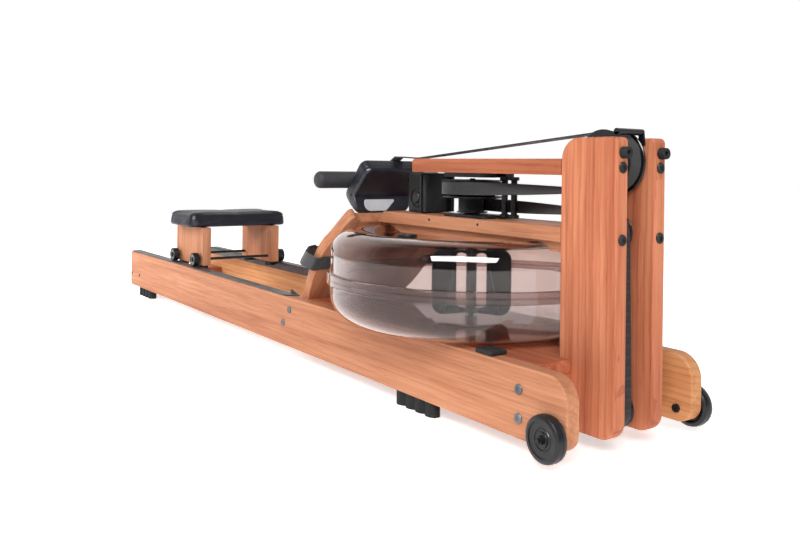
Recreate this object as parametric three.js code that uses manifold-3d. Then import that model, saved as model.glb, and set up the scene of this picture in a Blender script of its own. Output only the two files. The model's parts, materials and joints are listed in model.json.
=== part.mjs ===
// Water rowing machine: two wooden rails with a rolling seat, a water tank with a paddle under a wooden
// deck, two uprights with the strap pulley between them, an inclined footboard, and a monitor and handle.
// Lengths are millimetres. X runs from the rear end of the rails to the pulley end, +Y is the rower's
// left and +Z is up. The origin is on the floor, in the middle of the whole machine.

import * as THREE from 'three';
import { mergeVertices } from 'three/addons/utils/BufferGeometryUtils.js';
import Module from 'manifold-3d';

const wasm = await Module();
wasm.setup();

// Clearances and finish of edges
const seatGap = 0.3;
const runningGap = 0.3;
const woodBevel = 1.5;
const plasticBevel = 1.2;
const cutOverrun = 5;
const weldTolerance = 1e-4;

// Steps that round shapes are made with
const cornerSteps = 3;
const smallRoundSteps = 8;
const roundSteps = 14;
const wheelSteps = 20;
const tankSteps = 32;
const tankCornerSteps = 3;
const fullTurn = Math.PI * 2;
const quarterTurn = Math.PI / 2;

// Main sizes, and where the main groups stand along the machine, each from its neighbour
const railLength = 2100;
const uprightWidth = 119;
const tankRadius = 282;
const tankToUpright = 17;
const footboardToTank = 181;
const uprightRear = railLength - uprightWidth;
const tankCentreX = uprightRear - tankToUpright - tankRadius;
const footboardRailX = tankCentreX - tankRadius - footboardToTank;

// Feet and rails
const footHeight = 26;
const footLobes = 4;
const footLobePitch = 30.5;
const footLobeBulge = 7;
const footCoreHalfWidth = 6;
const rearFootStart = 85;
const middleFootBack = 35;
const middleFootStart = tankCentreX - middleFootBack;
const railHeight = 116;
const railThickness = 27;
const railHalfSpan = 161;
const railFrontTopRadius = 42;
const railFrontBottomRadius = 30;
const railRearTopRadius = 6;
const railRearBottomRadius = 14;
const railBottom = footHeight + seatGap;
const railTop = railBottom + railHeight;
const railInner = railHalfSpan - railThickness;
const betweenRails = railInner - seatGap;

// Boards across the rails
const rearSpacerStart = 4;
const rearSpacerLength = 100;
const rearSpacerThickness = 27;
const rearSpacerCentreHeight = 67;
const screwInset = 9.5;
const baseBoardAhead = 37;
const baseBoardStart = footboardRailX + baseBoardAhead;
const baseBoardThickness = 22;
const frontSpacerThickness = 27;
const frontSpacerBottom = 36;
const cordClearance = 24;

// Uprights and the boards they carry
const uprightThickness = 27.5;
const uprightGap = 63;
const uprightBottom = 28;
const uprightTop = 505;
const uprightRearTopRadius = 36;
const uprightFrontTopRadius = 9;
const uprightFrontBottomRadius = 30;
const uprightRearBottomRadius = 9;
const uprightInner = uprightGap / 2;
const uprightOuter = uprightInner + uprightThickness;
const uprightMiddle = uprightInner + uprightThickness / 2;
const frontSpacerInset = 1.5;
const frontSpacerRear = uprightRear + frontSpacerInset;
const frontSpacerFront = frontSpacerRear + frontSpacerThickness;
const topBarAhead = 281;
const topBarStart = footboardRailX + topBarAhead;
const topBarBottom = 443;
const topBarThickness = 27.5;
const topBarTop = topBarBottom + topBarThickness;
const topBarEndRadius = 8;
const deckBottom = 331;
const deckThickness = 25;
const deckTop = deckBottom + deckThickness;
const boardEnd = uprightRear - seatGap;
const braceHalfWidth = 45;
const braceBottom = 313.3;

// Bolts and bumpers
const railBoltHeadRadius = 8;
const railBoltHeadDepth = 2.5;
const frontBoltHeights = [58.9, 104.7];
const screwHeadRadius = 4;
const uprightBoltHeadRadius = 7;
const uprightBoltHeadDepth = 2.5;
const socketSides = 6;
const socketRadius = 3;
const socketDepth = 2;
const bumperRadius = 9;
const bumperLength = 13;
const bumperHeight = 480;
const bumperStemRadius = 4;
const bumperStemLength = 30;
const bumperSocketRadius = 4;
const bumperSocketDepth = 5;

// Tank
const tankWall = 4;
const tankBottom = 146;
const tankSeam = 236;
const tankCrest = 327.2;
const tankDish = 313;
const tankBottomCornerReach = 75;
const tankBottomCornerRise = 60;
const tankShoulderRadius = 47;
const tankDishInset = 92;
const tankDishRadius = tankRadius - tankDishInset;
const tankBeltBottom = 225;
const tankBeltTop = 247;
const tankBeltProud = 6;
const tankFootInner = 60;
const tankFootOuter = 80;
const tankNeckRadius = 10;
const fillHoleRadius = 14;
const fillHoleOffset = 130;
const fillHoleTurn = (227 / 180) * Math.PI;
const plugHeight = 9;
const plugFlangeRadius = 20;
const plugFlangeHeight = 4;
const stopLength = 42;
const stopHeight = 14;
const stopInset = 44;
const stopDistance = tankRadius - stopInset;
const stopSink = 3;
const stopLap = 9;
const dishSteps = 3;

// Paddle and drive
const shaftRadius = 6;
const shaftTop = 432;
const bearingRadius = 16;
const bearingHeight = 10;
const bearingWall = 6;
const paddleRadius = 88;
const paddleBottom = 164;
const paddleTop = 286;
const paddleBlades = 6;
const bladeThickness = 4;
const bladeSweep = 18;
const bladeSteps = 3;
const paddleHubRadius = 16;
const paddleDiscRadius = 62;
const paddleDiscThickness = 4;
const strapWidth = 25;
const strapThickness = 2.5;
const drumStrapHeight = 413;
const recoilStrapHeight = 380;
const drumRadius = 44;
const drumFlangeRadius = 52;
const recoilDrumRadius = 25;
const recoilFlangeRadius = 31;
const drumFlangeThickness = 2.5;
const drumStrapSlack = 1;
const strapWrapSteps = 14;
const strapTwistSteps = 7;
const drumWrapTurn = 1.6 * Math.PI;
const topPulleySetback = 63;
const topPulleyX = railLength - topPulleySetback;
const topPulleyHeight = 466.5;
const topPulleyRadius = 48;
const topPulleyFlangeRadius = 52.5;
const topPulleyWidth = 46;
const pulleyFlangeThickness = 4;
const pulleyWebInset = 12;
const pulleyHubRadius = 14;
const pinRadius = 5;
const pinDepth = 15;
const recoilPulleyRadius = 28;
const recoilPulleyFlangeRadius = 31;
const recoilPulleyWidth = 38;
const bungeeRadius = 4.5;
const lowerPulleyAhead = 7;
const lowerPulleyX = topPulleyX + lowerPulleyAhead;
const lowerPulleyHeight = 61;
const returnPulleySetback = 44;
const returnPulleyX = baseBoardStart + returnPulleySetback;
const returnPulleyRadius = 28;
const returnPulleyWidth = 20;
const returnPinReach = 14;
const earThickness = 4;
const earHalfWidth = 12;
const clampAhead = 72;
const clampX = returnPulleyX + clampAhead;
const bungeeSides = 8;
const bungeeSteps = 14;
const clampLength = 18;
const clampDepth = 8;
const guardRadius = 5.5;
const guardClearance = 2.6;
const guardTurn = (52.38 / 180) * Math.PI;
const guardReach = topPulleyFlangeRadius + guardClearance + guardRadius;
const guardX = topPulleyX + guardReach * Math.cos(guardTurn);
const guardHeight = topPulleyHeight + guardReach * Math.sin(guardTurn);
const guardFootAhead = 45;
const guardFootX = topPulleyX + guardFootAhead;
const guardFootRise = 11.5;
const guardFootHeight = topPulleyHeight + guardFootRise;
const guardLegWidth = 12;
const guardLegThickness = 3.5;

// Bracket that holds the drum between deck and top bar
const bracketBack = 122;
const bracketStart = tankCentreX - bracketBack;
const bracketFront = 83;
const bracketEnd = tankCentreX + bracketFront;
const bracketHalfWidth = 42;
const bracketPlate = 5;
const bracketTopPlate = 8;
const bracketWeb = 6;
const guidePostRadius = 6;
const guidePostReaches = [96, 122];
const guidePostX = guidePostReaches.map((reach) => tankCentreX + reach);
const reelBoxAhead = 277;
const reelBoxStart = footboardRailX + reelBoxAhead;
const reelBoxHalfWidth = 26;
const reelRadius = 18;
const reelHalfWidth = 20;
const reelSetback = 6;
const reelX = reelBoxStart - reelSetback;
const reelHeight = 398;

// Footboard, in its own inclined frame: U runs up the board, N stands off its rower's side
const footboardAngle = (47.6 / 180) * Math.PI;
const footboardThickness = 27;
const footboardLow = -105;
const footboardWiden = 28;
const footboardTop = 316;
const footboardWaist = 159;
const footboardTopHalfWidth = 96;
const footboardShares = [
  [0.06, 0.33],
  [0.72, 0.58],
  [0.98, 0.7],
  [0.93, 0.9],
];
const footboardCornerRadius = 22;
const footboardBendShares = [1, 0.5];
const footboardBoltOffset = 0.5;
const footboardBoltPlaces = [-72, -26];
const heelWidth = 92;
const heelLength = 125;
const heelStart = 6;
const heelPlate = 5;
const heelCupHeight = 42;
const heelCupWall = 5;
const heelCupLength = 40;
const heelCentre = 74;
const heelCornerRadius = 11.5;
const heelCupDrawn = 6.75;
const footStrapWidth = 40;
const footStrapThickness = 2.5;
const footStrapPlace = 152;
const footStrapInner = 24;
const footStrapRise = 72;
const footStrapTuck = 45;
const footStrapSteps = 20;
const footStrapSide = 5;
const footStrapShares = [
  [1, 0.35],
  [0.88, 0.82],
  [0.6, 1],
  [0.33, 0.72],
];
const footStrapDipShare = 0.3;

// Monitor, in the same inclined frame
const monitorMiddle = 318;
const monitorOffset = 20;
const monitorWidth = 165;
const monitorHeight = 125;
const monitorBack = 32;
const monitorThickness = 38;
const monitorSplit = 14;
const monitorRadius = 26;
const monitorWall = 3;
const screenWidth = 96;
const screenHeight = 46;
const screenThickness = 2.5;
const screenPlace = 24;
const screenFrame = 4;
const buttonCount = 2;
const buttonRadius = 5;
const buttonPitch = 40;
const buttonHeight = 5;
const buttonProud = 1.5;
const buttonTravel = 1.2;
const buttonPlace = -52;
const bracketArmWidth = 56;
const bracketArmStart = 262;
const bracketArmLength = 40;
const hookThickness = 7;
const hookSpread = 62;
const hookReach = 42;
const hookDepth = 9;
const hookRound = 2;

// Handle
const handleAhead = 131;
const handleX = footboardRailX + handleAhead;
const handleHeight = 422;
const handleHalfLength = 172;
const gripRadius = 19;
const loopShare = 0.8;
const gripEndRadius = 12;
const endRoundShare = 0.3;
const gripInner = 26;
const handleCoreRadius = 11;
const gripSteps = 14;

// Seat
const seatMiddleX = 468.7;
const seatBlockLength = 222;
const seatBlockThickness = 26;
const seatBlockInner = 99.8;
const seatBlockBottom = 148;
const seatBlockTop = 261.5;
const seatBlockRadius = 4;
const axleSpacing = 172;
const axleRadius = 4;
const seatWheelRadius = 20;
const seatWheelWidth = 18;
const seatWheelOuter = 150;
const seatWheelHubRadius = 13;
const seatWheelRecess = 2;
const seatWheelEdge = 1.8;
const axleNutRadius = 6;
const axleNutLength = 4;
const nutSides = 6;
const trackThickness = 3;
const trackSkirt = 20;
const trackStart = 8;
const trackShortfall = 41;
const trackEnd = footboardRailX - trackShortfall;
const trackTipLength = 28;
const trackTip = trackEnd + trackTipLength;
const trackOuterInset = 2.5;
const trackTabHeight = 10;
const trackTabLength = 42;
const trackTop = railTop + seatGap + trackThickness;
const knobRadius = 13;
const knobHeight = 13;
const knobStemRadius = 4;
const knobSink = 3;
const padLength = 191;
const padHalfWidth = 157;
const padHeight = 45;
const padCrown = 4;
const padDrawIn = 7;
const padChannelDepth = 3.5;
const padChannelHalfWidth = 16;
const padCornerPowerShare = 7;
const padRings = 6;
const padSides = 32;
const padTopRings = 5;
const padBellyStartShare = 0.12;
const padBellySpanShare = 0.8;
const padBellyPowerShare = 0.35;
const padTopPowerShare = 1.3;
const padTopRiseShare = 2;

// Transport wheels
const transportSetback = 30;
const transportX = railLength - transportSetback;
const transportHeight = 49;
const transportRadius = 37;
const transportWidth = 22;
const transportGap = 2;
const transportBore = 4.3;
const transportAxleRadius = 4;
const transportHeadRadius = 7.5;
const transportHeadDepth = 4;
const transportNutRadius = 7.5;
const transportNutDepth = 6;
const transportTipLength = 4;
const transportTreadRadius = 4;
const transportTreadBulge = 1.2;
const transportHubRadius = 15.5;
const transportRingRadius = 29.6;
const transportRecess = 2;
const transportHubRecess = 5;

// Materials
const wood = (colour) => new THREE.MeshStandardMaterial({ color: colour, roughness: 0.45, metalness: 0 });
const railWood = wood(0xd9976a);
const uprightWood = wood(0xc9805a);
const innerWood = wood(0xb06a48);
const blackPlastic = new THREE.MeshStandardMaterial({ color: 0x16161a, roughness: 0.4, metalness: 0 });
const blackRubber = new THREE.MeshStandardMaterial({ color: 0x18181a, roughness: 0.75, metalness: 0 });
const blackMetal = new THREE.MeshStandardMaterial({ color: 0x141416, roughness: 0.35, metalness: 0.6 });
const webbing = new THREE.MeshStandardMaterial({ color: 0x1c1718, roughness: 0.85, metalness: 0 });
const foam = new THREE.MeshStandardMaterial({ color: 0x232327, roughness: 0.8, metalness: 0 });
const padSkin = new THREE.MeshStandardMaterial({ color: 0x1d1d22, roughness: 0.55, metalness: 0 });
const steel = new THREE.MeshStandardMaterial({ color: 0x8b8d90, roughness: 0.35, metalness: 0.9 });
const smoked = new THREE.MeshStandardMaterial({
  color: 0x8d8586,
  roughness: 0.08,
  metalness: 0,
  transparent: true,
  opacity: 0.4,
});
const screenGlass = new THREE.MeshStandardMaterial({ color: 0x6d7868, roughness: 0.2, metalness: 0 });

// Makes a geometry a plain closed shell of shared points, with its faces pointing out
function closedShell(geometry) {
  const bare = geometry.index ? geometry : mergeVertices(geometry);
  for (const name of Object.keys(bare.attributes)) if (name !== 'position') bare.deleteAttribute(name);
  const merged = mergeVertices(bare, weldTolerance);
  const index = [];
  const source = merged.index.array;
  for (let i = 0; i < source.length; i += 3) {
    const [a, b, c] = [source[i], source[i + 1], source[i + 2]];
    if (a !== b && b !== c && a !== c) index.push(a, b, c);
  }
  const place = merged.attributes.position;
  const [p, q, r] = [new THREE.Vector3(), new THREE.Vector3(), new THREE.Vector3()];
  let volume = 0;
  for (let i = 0; i < index.length; i += 3) {
    p.fromBufferAttribute(place, index[i]);
    q.fromBufferAttribute(place, index[i + 1]);
    r.fromBufferAttribute(place, index[i + 2]);
    volume += p.dot(q.cross(r));
  }
  if (volume < 0) {
    for (let i = 0; i < index.length; i += 3) {
      [index[i], index[i + 1]] = [index[i + 1], index[i]];
    }
  }
  merged.setIndex(index);
  return merged;
}

// Turns a closed shell into a solid that can be cut and joined
function solid(geometry) {
  const shell = closedShell(geometry);
  return new wasm.Manifold(
    new wasm.Mesh({
      numProp: 3,
      vertProperties: new Float32Array(shell.attributes.position.array),
      triVerts: new Uint32Array(shell.index.array),
    }),
  );
}

// Turns a solid back into a geometry
function shellOf(manifold) {
  const mesh = manifold.getMesh();
  const geometry = new THREE.BufferGeometry();
  const places = new Float32Array(mesh.vertProperties);
  geometry.setAttribute('position', new THREE.BufferAttribute(places, mesh.numProp));
  geometry.setIndex(new THREE.BufferAttribute(new Uint32Array(mesh.triVerts), 1));
  return geometry;
}

const cut = (body, tools) => shellOf(tools.reduce((left, tool) => left.subtract(solid(tool)), solid(body)));
const fuse = ([first, ...others]) =>
  shellOf(others.reduce((whole, part) => whole.add(solid(part)), solid(first)));

// A polygon whose corners [x, y, radius] are rounded with arcs
function filletedShape(corners) {
  const shape = new THREE.Shape();
  corners.forEach(([x, y, radius], i) => {
    const before = corners.at(i - 1);
    const after = corners[(i + 1) % corners.length];
    const corner = new THREE.Vector2(x, y);
    const back = new THREE.Vector2(before[0] - x, before[1] - y).normalize();
    const ahead = new THREE.Vector2(after[0] - x, after[1] - y).normalize();
    const half = Math.acos(back.dot(ahead)) / 2;
    const reach = radius / Math.tan(half);
    const start = corner.clone().addScaledVector(back, reach);
    if (i === 0) shape.moveTo(start.x, start.y);
    else shape.lineTo(start.x, start.y);
    if (radius > 0) {
      const middle = back.clone().add(ahead).normalize();
      const centre = corner.clone().addScaledVector(middle, radius / Math.sin(half));
      const end = corner.clone().addScaledVector(ahead, reach);
      const from = start.sub(centre).angle();
      const to = end.sub(centre).angle();
      shape.absarc(centre.x, centre.y, radius, from, to, back.cross(ahead) > 0);
    }
  });
  shape.closePath();
  return shape;
}

const rectangle = (left, right, bottom, top, radius = 0) =>
  filletedShape([
    [left, bottom, radius],
    [right, bottom, radius],
    [right, top, radius],
    [left, top, radius],
  ]);

// Extrudes a shape to a full depth, with bevelled edges inside the outline where asked
function extruded(shape, depth, bevel = 0) {
  return new THREE.ExtrudeGeometry(shape, {
    depth: depth - 2 * bevel,
    bevelEnabled: bevel > 0,
    bevelThickness: bevel,
    bevelSize: bevel,
    bevelOffset: -bevel,
    bevelSegments: 1,
    curveSegments: cornerSteps,
  }).translate(0, 0, bevel);
}

// A plank whose outline is in X and Z, from one Y to another
function sidePlank(shape, fromY, toY, bevel = 0) {
  return extruded(shape, toY - fromY, bevel)
    .rotateX(quarterTurn)
    .translate(0, toY, 0);
}

// A plank whose outline is in X and Y, from one Z to another
const flatPlank = (shape, fromZ, toZ, bevel = 0) =>
  extruded(shape, toZ - fromZ, bevel).translate(0, 0, fromZ);

// A cuboid from its limits
function block(fromX, toX, fromY, toY, fromZ, toZ) {
  return new THREE.BoxGeometry(toX - fromX, toY - fromY, toZ - fromZ).translate(
    (fromX + toX) / 2,
    (fromY + toY) / 2,
    (fromZ + toZ) / 2,
  );
}

// Round rods along each axis, from one end to the other
const rod = (radius, length, steps) => new THREE.CylinderGeometry(radius, radius, length, steps);
const rodAlongX = (radius, from, to, y, z, steps = smallRoundSteps) =>
  rod(radius, to - from, steps).rotateZ(quarterTurn).translate((from + to) / 2, y, z);
const rodAlongY = (radius, from, to, x, z, steps = smallRoundSteps) =>
  rod(radius, to - from, steps).translate(x, (from + to) / 2, z);
const rodAlongZ = (radius, from, to, x, y, steps = smallRoundSteps) =>
  rod(radius, to - from, steps).rotateX(quarterTurn).translate(x, y, (from + to) / 2);

// A revolved ring or body from [radius, height] points; the profile closes on itself or ends on the axis
function revolved(points, steps) {
  const first = points[0];
  const last = points.at(-1);
  const onAxis = first[0] === 0 && last[0] === 0;
  const outline = onAxis ? points : [...points, first];
  return closedShell(
    new THREE.LatheGeometry(
      outline.map(([radius, height]) => new THREE.Vector2(radius, height)),
      steps,
    ),
  );
}

const revolvedAboutZ = (points, steps, x, y) =>
  revolved(points, steps).rotateX(quarterTurn).translate(x, y, 0);
const revolvedAboutY = (points, steps, x, z) => revolved(points, steps).translate(x, 0, z);

// A flat band lofted through stations, each with its place, its width direction and its thickness direction
function band(stations, width, thickness) {
  const points = [];
  for (const { place, across, out } of stations) {
    for (const [side, face] of [[-1, -1], [1, -1], [1, 1], [-1, 1]]) {
      const point = place.clone();
      point.addScaledVector(across, (side * width) / 2);
      point.addScaledVector(out, (face * thickness) / 2);
      points.push(point.x, point.y, point.z);
    }
  }
  const index = [];
  const ring = 4;
  for (let i = 0; i + 1 < stations.length; i += 1) {
    for (let k = 0; k < ring; k += 1) {
      const a = i * ring + k;
      const b = i * ring + ((k + 1) % ring);
      index.push(a, b, b + ring, a, b + ring, a + ring);
    }
  }
  const last = (stations.length - 1) * ring;
  index.push(0, 2, 1, 0, 3, 2, last, last + 1, last + 2, last, last + 2, last + 3);
  const geometry = new THREE.BufferGeometry();
  geometry.setAttribute('position', new THREE.Float32BufferAttribute(points, 3));
  geometry.setIndex(index);
  return closedShell(geometry);
}

const machine = new THREE.Group();
const overallLength = railLength + bumperLength;
machine.position.x = -overallLength / 2;

const sorted = (from, to) => (from < to ? [from, to] : [to, from]);

// Radius of a faceted bore that a round pin turns in
const boreRadius = (radius, steps = smallRoundSteps) => (radius + runningGap) / Math.cos(Math.PI / steps);

// Adds a named piece to a group
function piece(name, geometry, material, parent = machine) {
  const shaded = closedShell(geometry).toNonIndexed();
  shaded.computeVertexNormals();
  const mesh = new THREE.Mesh(shaded, material);
  mesh.name = name;
  parent.add(mesh);
}

// Places of the bolts that hold footboard, front spacers and rear spacer between the rails
const footboardDirection = new THREE.Vector2(Math.cos(footboardAngle), Math.sin(footboardAngle));
const footboardBolts = footboardBoltPlaces.map((along) => {
  const depth = footboardThickness * footboardBoltOffset;
  return [
    footboardRailX + along * footboardDirection.x + depth * footboardDirection.y,
    railTop + along * footboardDirection.y - depth * footboardDirection.x,
  ];
});
const frontBoltX = (frontSpacerRear + frontSpacerFront) / 2;
const railBolts = [...footboardBolts, ...frontBoltHeights.map((height) => [frontBoltX, height])];
const rearScrews = [
  [rearSpacerStart + screwInset, rearSpacerCentreHeight],
  [rearSpacerStart + rearSpacerLength - screwInset, rearSpacerCentreHeight],
];

// A recessed bolt head with a hexagonal socket: the recess to cut and the head that stands in it.
// The bar function makes a rod from one depth to another, counted outwards from the wood's face
function boltRecess(radius, depth, bar) {
  const shank = bar(radius, -depth - seatGap, -seatGap);
  return {
    recess: bar(radius + seatGap, -depth, cutOverrun),
    head: cut(shank, [bar(socketRadius, -socketDepth, cutOverrun, socketSides)]),
  };
}

// Rail with its bolt heads and the hole for the transport wheel's bolt
function railGeometry(side) {
  const outline = filletedShape([
    [0, railBottom, railRearBottomRadius],
    [railLength, railBottom, railFrontBottomRadius],
    [railLength, railTop, railFrontTopRadius],
    [0, railTop, railRearTopRadius],
  ]);
  const plank = sidePlank(outline, ...sorted(side * railInner, side * railHalfSpan), woodBevel);
  const fromFace = ([x, z]) => (radius, from, to, steps) =>
    rodAlongY(radius, ...sorted(side * (railHalfSpan + from), side * (railHalfSpan + to)), x, z, steps);
  const bolts = [
    ...railBolts.map((place) => boltRecess(railBoltHeadRadius, railBoltHeadDepth, fromFace(place))),
    ...rearScrews.map((place) => boltRecess(screwHeadRadius, railBoltHeadDepth, fromFace(place))),
  ];
  const axleHole = rodAlongY(
    transportAxleRadius + seatGap,
    ...sorted(side * (railInner - cutOverrun), side * (railHalfSpan + cutOverrun)),
    transportX,
    transportHeight,
  );
  return fuse([
    cut(plank, [...bolts.map(({ recess }) => recess), axleHole]),
    ...bolts.map(({ head }) => head),
  ]);
}

piece('rail_right', railGeometry(-1), railWood);
piece('rail_left', railGeometry(1), railWood);

// Ribbed rubber feet: a row of lobes along the rail
function footGeometry(startX, side) {
  const shape = new THREE.Shape();
  const end = footLobes * footLobePitch;
  shape.moveTo(0, footCoreHalfWidth);
  const lobe = (fromX, toX, y, bulge) => {
    const middle = (fromX + toX) / 2;
    shape.quadraticCurveTo(middle, y + 2 * bulge, toX, y);
  };
  for (let i = 0; i < footLobes; i += 1) {
    lobe(i * footLobePitch, (i + 1) * footLobePitch, footCoreHalfWidth, footLobeBulge);
  }
  shape.lineTo(end, -footCoreHalfWidth);
  for (let i = footLobes; i > 0; i -= 1) {
    lobe(i * footLobePitch, (i - 1) * footLobePitch, -footCoreHalfWidth, -footLobeBulge);
  }
  shape.closePath();
  const middleY = side * (railHalfSpan - railThickness / 2);
  return flatPlank(shape, 0, footHeight).translate(startX, middleY, 0);
}

for (const [side, hand] of [[-1, 'right'], [1, 'left']]) {
  piece(`rear_foot_${hand}`, footGeometry(rearFootStart, side), blackRubber);
  piece(`middle_foot_${hand}`, footGeometry(middleFootStart, side), blackRubber);
}

// Board between the rails' rear ends
function rearSpacerGeometry() {
  const bottom = rearSpacerCentreHeight - rearSpacerThickness / 2;
  const outline = rectangle(
    rearSpacerStart,
    rearSpacerStart + rearSpacerLength,
    bottom,
    bottom + rearSpacerThickness,
    woodBevel,
  );
  return sidePlank(outline, -betweenRails, betweenRails);
}

piece('rear_spacer', rearSpacerGeometry(), innerWood);

// Board under the tank, flush with the rails' top and notched round both uprights
function baseBoardGeometry() {
  const board = flatPlank(
    rectangle(baseBoardStart, frontSpacerFront, -betweenRails, betweenRails),
    railTop - baseBoardThickness,
    railTop,
    woodBevel,
  );
  const notch = (side) => {
    const [from, to] = sorted(side * (uprightInner - seatGap), side * (uprightOuter + seatGap));
    const top = railTop + cutOverrun;
    return block(uprightRear - seatGap, frontSpacerFront + cutOverrun, from, to, uprightBottom, top);
  };
  return fuse([cut(board, [notch(-1), notch(1)]), stopGeometry(-1), stopGeometry(1)]);
}

// Rubber stop on the board's edge and the rail's top, which keeps the tank in its place
function stopGeometry(side) {
  const start = tankCentreX + stopDistance - stopLength / 2;
  const outline = (bottom) =>
    filletedShape([
      [start, bottom, 0],
      [start + stopLength, bottom, 0],
      [start + stopLength, railTop + stopHeight, stopHeight / 2],
      [start, railTop + stopHeight, stopHeight / 2],
    ]);
  const edge = side * (betweenRails - woodBevel);
  return fuse([
    sidePlank(outline(railTop - stopSink), ...sorted(side * (betweenRails - stopLap), edge)),
    sidePlank(
      outline(railTop + seatGap),
      ...sorted(side * (betweenRails - stopLap), side * (railHalfSpan - woodBevel)),
    ),
  ]);
}

piece('tank_base_board', baseBoardGeometry(), innerWood);

// Blocks between the rails and the uprights
function frontSpacerGeometry(fromY, toY, bottom) {
  const top = railTop - baseBoardThickness - seatGap;
  const outline = rectangle(frontSpacerRear, frontSpacerFront, bottom, top, woodBevel);
  return sidePlank(outline, fromY, toY);
}

const outerSpacerFaces = (side) => sorted(side * (uprightOuter + seatGap), side * betweenRails);

piece('front_spacer_right', frontSpacerGeometry(...outerSpacerFaces(-1), frontSpacerBottom), innerWood);
piece('front_spacer_left', frontSpacerGeometry(...outerSpacerFaces(1), frontSpacerBottom), innerWood);
piece(
  'front_spacer_middle',
  frontSpacerGeometry(seatGap - uprightInner, uprightInner - seatGap, frontSpacerBottom + cordClearance),
  innerWood,
);

// Pins of the three strap pulleys, and the bolts of the boards that the uprights carry
const pulleyPins = [
  [topPulleyX, topPulleyHeight],
  [topPulleyX, recoilStrapHeight - recoilPulleyRadius - seatGap - strapThickness / 2],
  [lowerPulleyX, lowerPulleyHeight],
];
const uprightBolts = [topBarBottom + topBarThickness / 2, deckBottom + deckThickness / 2];

// Upright with its bolt heads and the holes for pins and bumper
function uprightGeometry(side) {
  const outline = filletedShape([
    [uprightRear, uprightBottom, uprightRearBottomRadius],
    [railLength, uprightBottom, uprightFrontBottomRadius],
    [railLength, uprightTop, uprightFrontTopRadius],
    [uprightRear, uprightTop, uprightRearTopRadius],
  ]);
  const plank = sidePlank(outline, ...sorted(side * uprightInner, side * uprightOuter), woodBevel);
  const y = side * uprightMiddle;
  const insideHole = (radius, depth, x, z) =>
    rodAlongY(radius, ...sorted(side * (uprightInner - cutOverrun), side * (uprightInner + depth)), x, z);
  const bolts = uprightBolts.map((z) =>
    boltRecess(uprightBoltHeadRadius, uprightBoltHeadDepth, (radius, from, to, steps) =>
      rodAlongX(radius, railLength + from, railLength + to, y, z, steps),
    ),
  );
  const holed = cut(plank, [
    ...bolts.map(({ recess }) => recess),
    ...pulleyPins.map(([x, z]) => insideHole(boreRadius(pinRadius), pinDepth + runningGap, x, z)),
    rodAlongX(
      bumperStemRadius + seatGap,
      railLength - bumperStemLength - seatGap,
      railLength + cutOverrun,
      y,
      bumperHeight,
    ),
  ]);
  return fuse([holed, ...bolts.map(({ head }) => head)]);
}

piece('upright_right', uprightGeometry(-1), uprightWood);
piece('upright_left', uprightGeometry(1), uprightWood);

// Rubber bumpers that the machine stands on when it is stored upright
function bumperGeometry(side) {
  const y = side * uprightMiddle;
  const face = railLength + bumperLength;
  const body = fuse([
    rodAlongX(bumperRadius, railLength + seatGap, face, y, bumperHeight, roundSteps),
    rodAlongX(bumperStemRadius, railLength - bumperStemLength, railLength + 2 * seatGap, y, bumperHeight),
  ]);
  return cut(body, [
    rodAlongX(bumperSocketRadius, face - bumperSocketDepth, face + cutOverrun, y, bumperHeight),
  ]);
}

piece('storage_bumper_right', bumperGeometry(-1), blackRubber);
piece('storage_bumper_left', bumperGeometry(1), blackRubber);

// Bar along the top, which the strap runs over
function topBarGeometry() {
  const outline = filletedShape([
    [topBarStart, topBarBottom, 2 * woodBevel],
    [boardEnd, topBarBottom, 0],
    [boardEnd, topBarTop, 0],
    [topBarStart, topBarTop, topBarEndRadius],
  ]);
  return sidePlank(outline, -uprightOuter, uprightOuter, woodBevel);
}

piece('top_bar', topBarGeometry(), railWood);

// Where the footboard's front face lies at a height, plus the seating gap
const footboardFrontX = (z) => {
  const face = footboardThickness + seatGap;
  const baseX = footboardRailX + face * footboardDirection.y;
  const baseZ = railTop - face * footboardDirection.x;
  return baseX + ((z - baseZ) * footboardDirection.x) / footboardDirection.y;
};

function deckBoardGeometry(bottom, top, halfWidth, bevel) {
  const outline = filletedShape([
    [footboardFrontX(bottom), bottom, 0],
    [boardEnd, bottom, 0],
    [boardEnd, top, 0],
    [footboardFrontX(top), top, 0],
  ]);
  return sidePlank(outline, -halfWidth, halfWidth, bevel);
}

// Deck board, with a hole for the bracket's collar
function deckGeometry() {
  const low = deckBottom - cutOverrun;
  return cut(deckBoardGeometry(deckBottom, deckTop, uprightOuter, woodBevel), [
    rodAlongZ(bearingRadius + seatGap, low, deckTop + cutOverrun, tankCentreX, 0, roundSteps),
  ]);
}

piece('deck_board', deckGeometry(), railWood);

// Outer points of the tank as [radius, height], lower half from the middle out, upper half from the seam in
function lowerOuterPoints(inset) {
  const points = [[tankRadius - tankBottomCornerReach, tankBottom + inset]];
  for (let i = 1; i <= tankCornerSteps; i += 1) {
    const turn = (quarterTurn * i) / tankCornerSteps;
    points.push([
      tankRadius - tankBottomCornerReach + (tankBottomCornerReach - inset) * Math.sin(turn),
      tankBottom + tankBottomCornerRise - (tankBottomCornerRise - inset) * Math.cos(turn),
    ]);
  }
  return points;
}

function upperOuterPoints(inset) {
  const points = [];
  const shoulderCentre = [tankRadius - tankShoulderRadius, tankCrest - tankShoulderRadius];
  for (let i = 0; i <= tankCornerSteps; i += 1) {
    const turn = (quarterTurn * i) / tankCornerSteps;
    points.push([
      shoulderCentre[0] + (tankShoulderRadius - inset) * Math.cos(turn),
      shoulderCentre[1] + (tankShoulderRadius - inset) * Math.sin(turn),
    ]);
  }
  for (let i = 1; i <= dishSteps; i += 1) {
    const share = i / dishSteps;
    const fall = (1 - Math.cos(Math.PI * share)) / 2;
    points.push([
      shoulderCentre[0] + (tankDishRadius - shoulderCentre[0]) * share,
      tankCrest - inset - (tankCrest - tankDish) * fall,
    ]);
  }
  return points;
}

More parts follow.
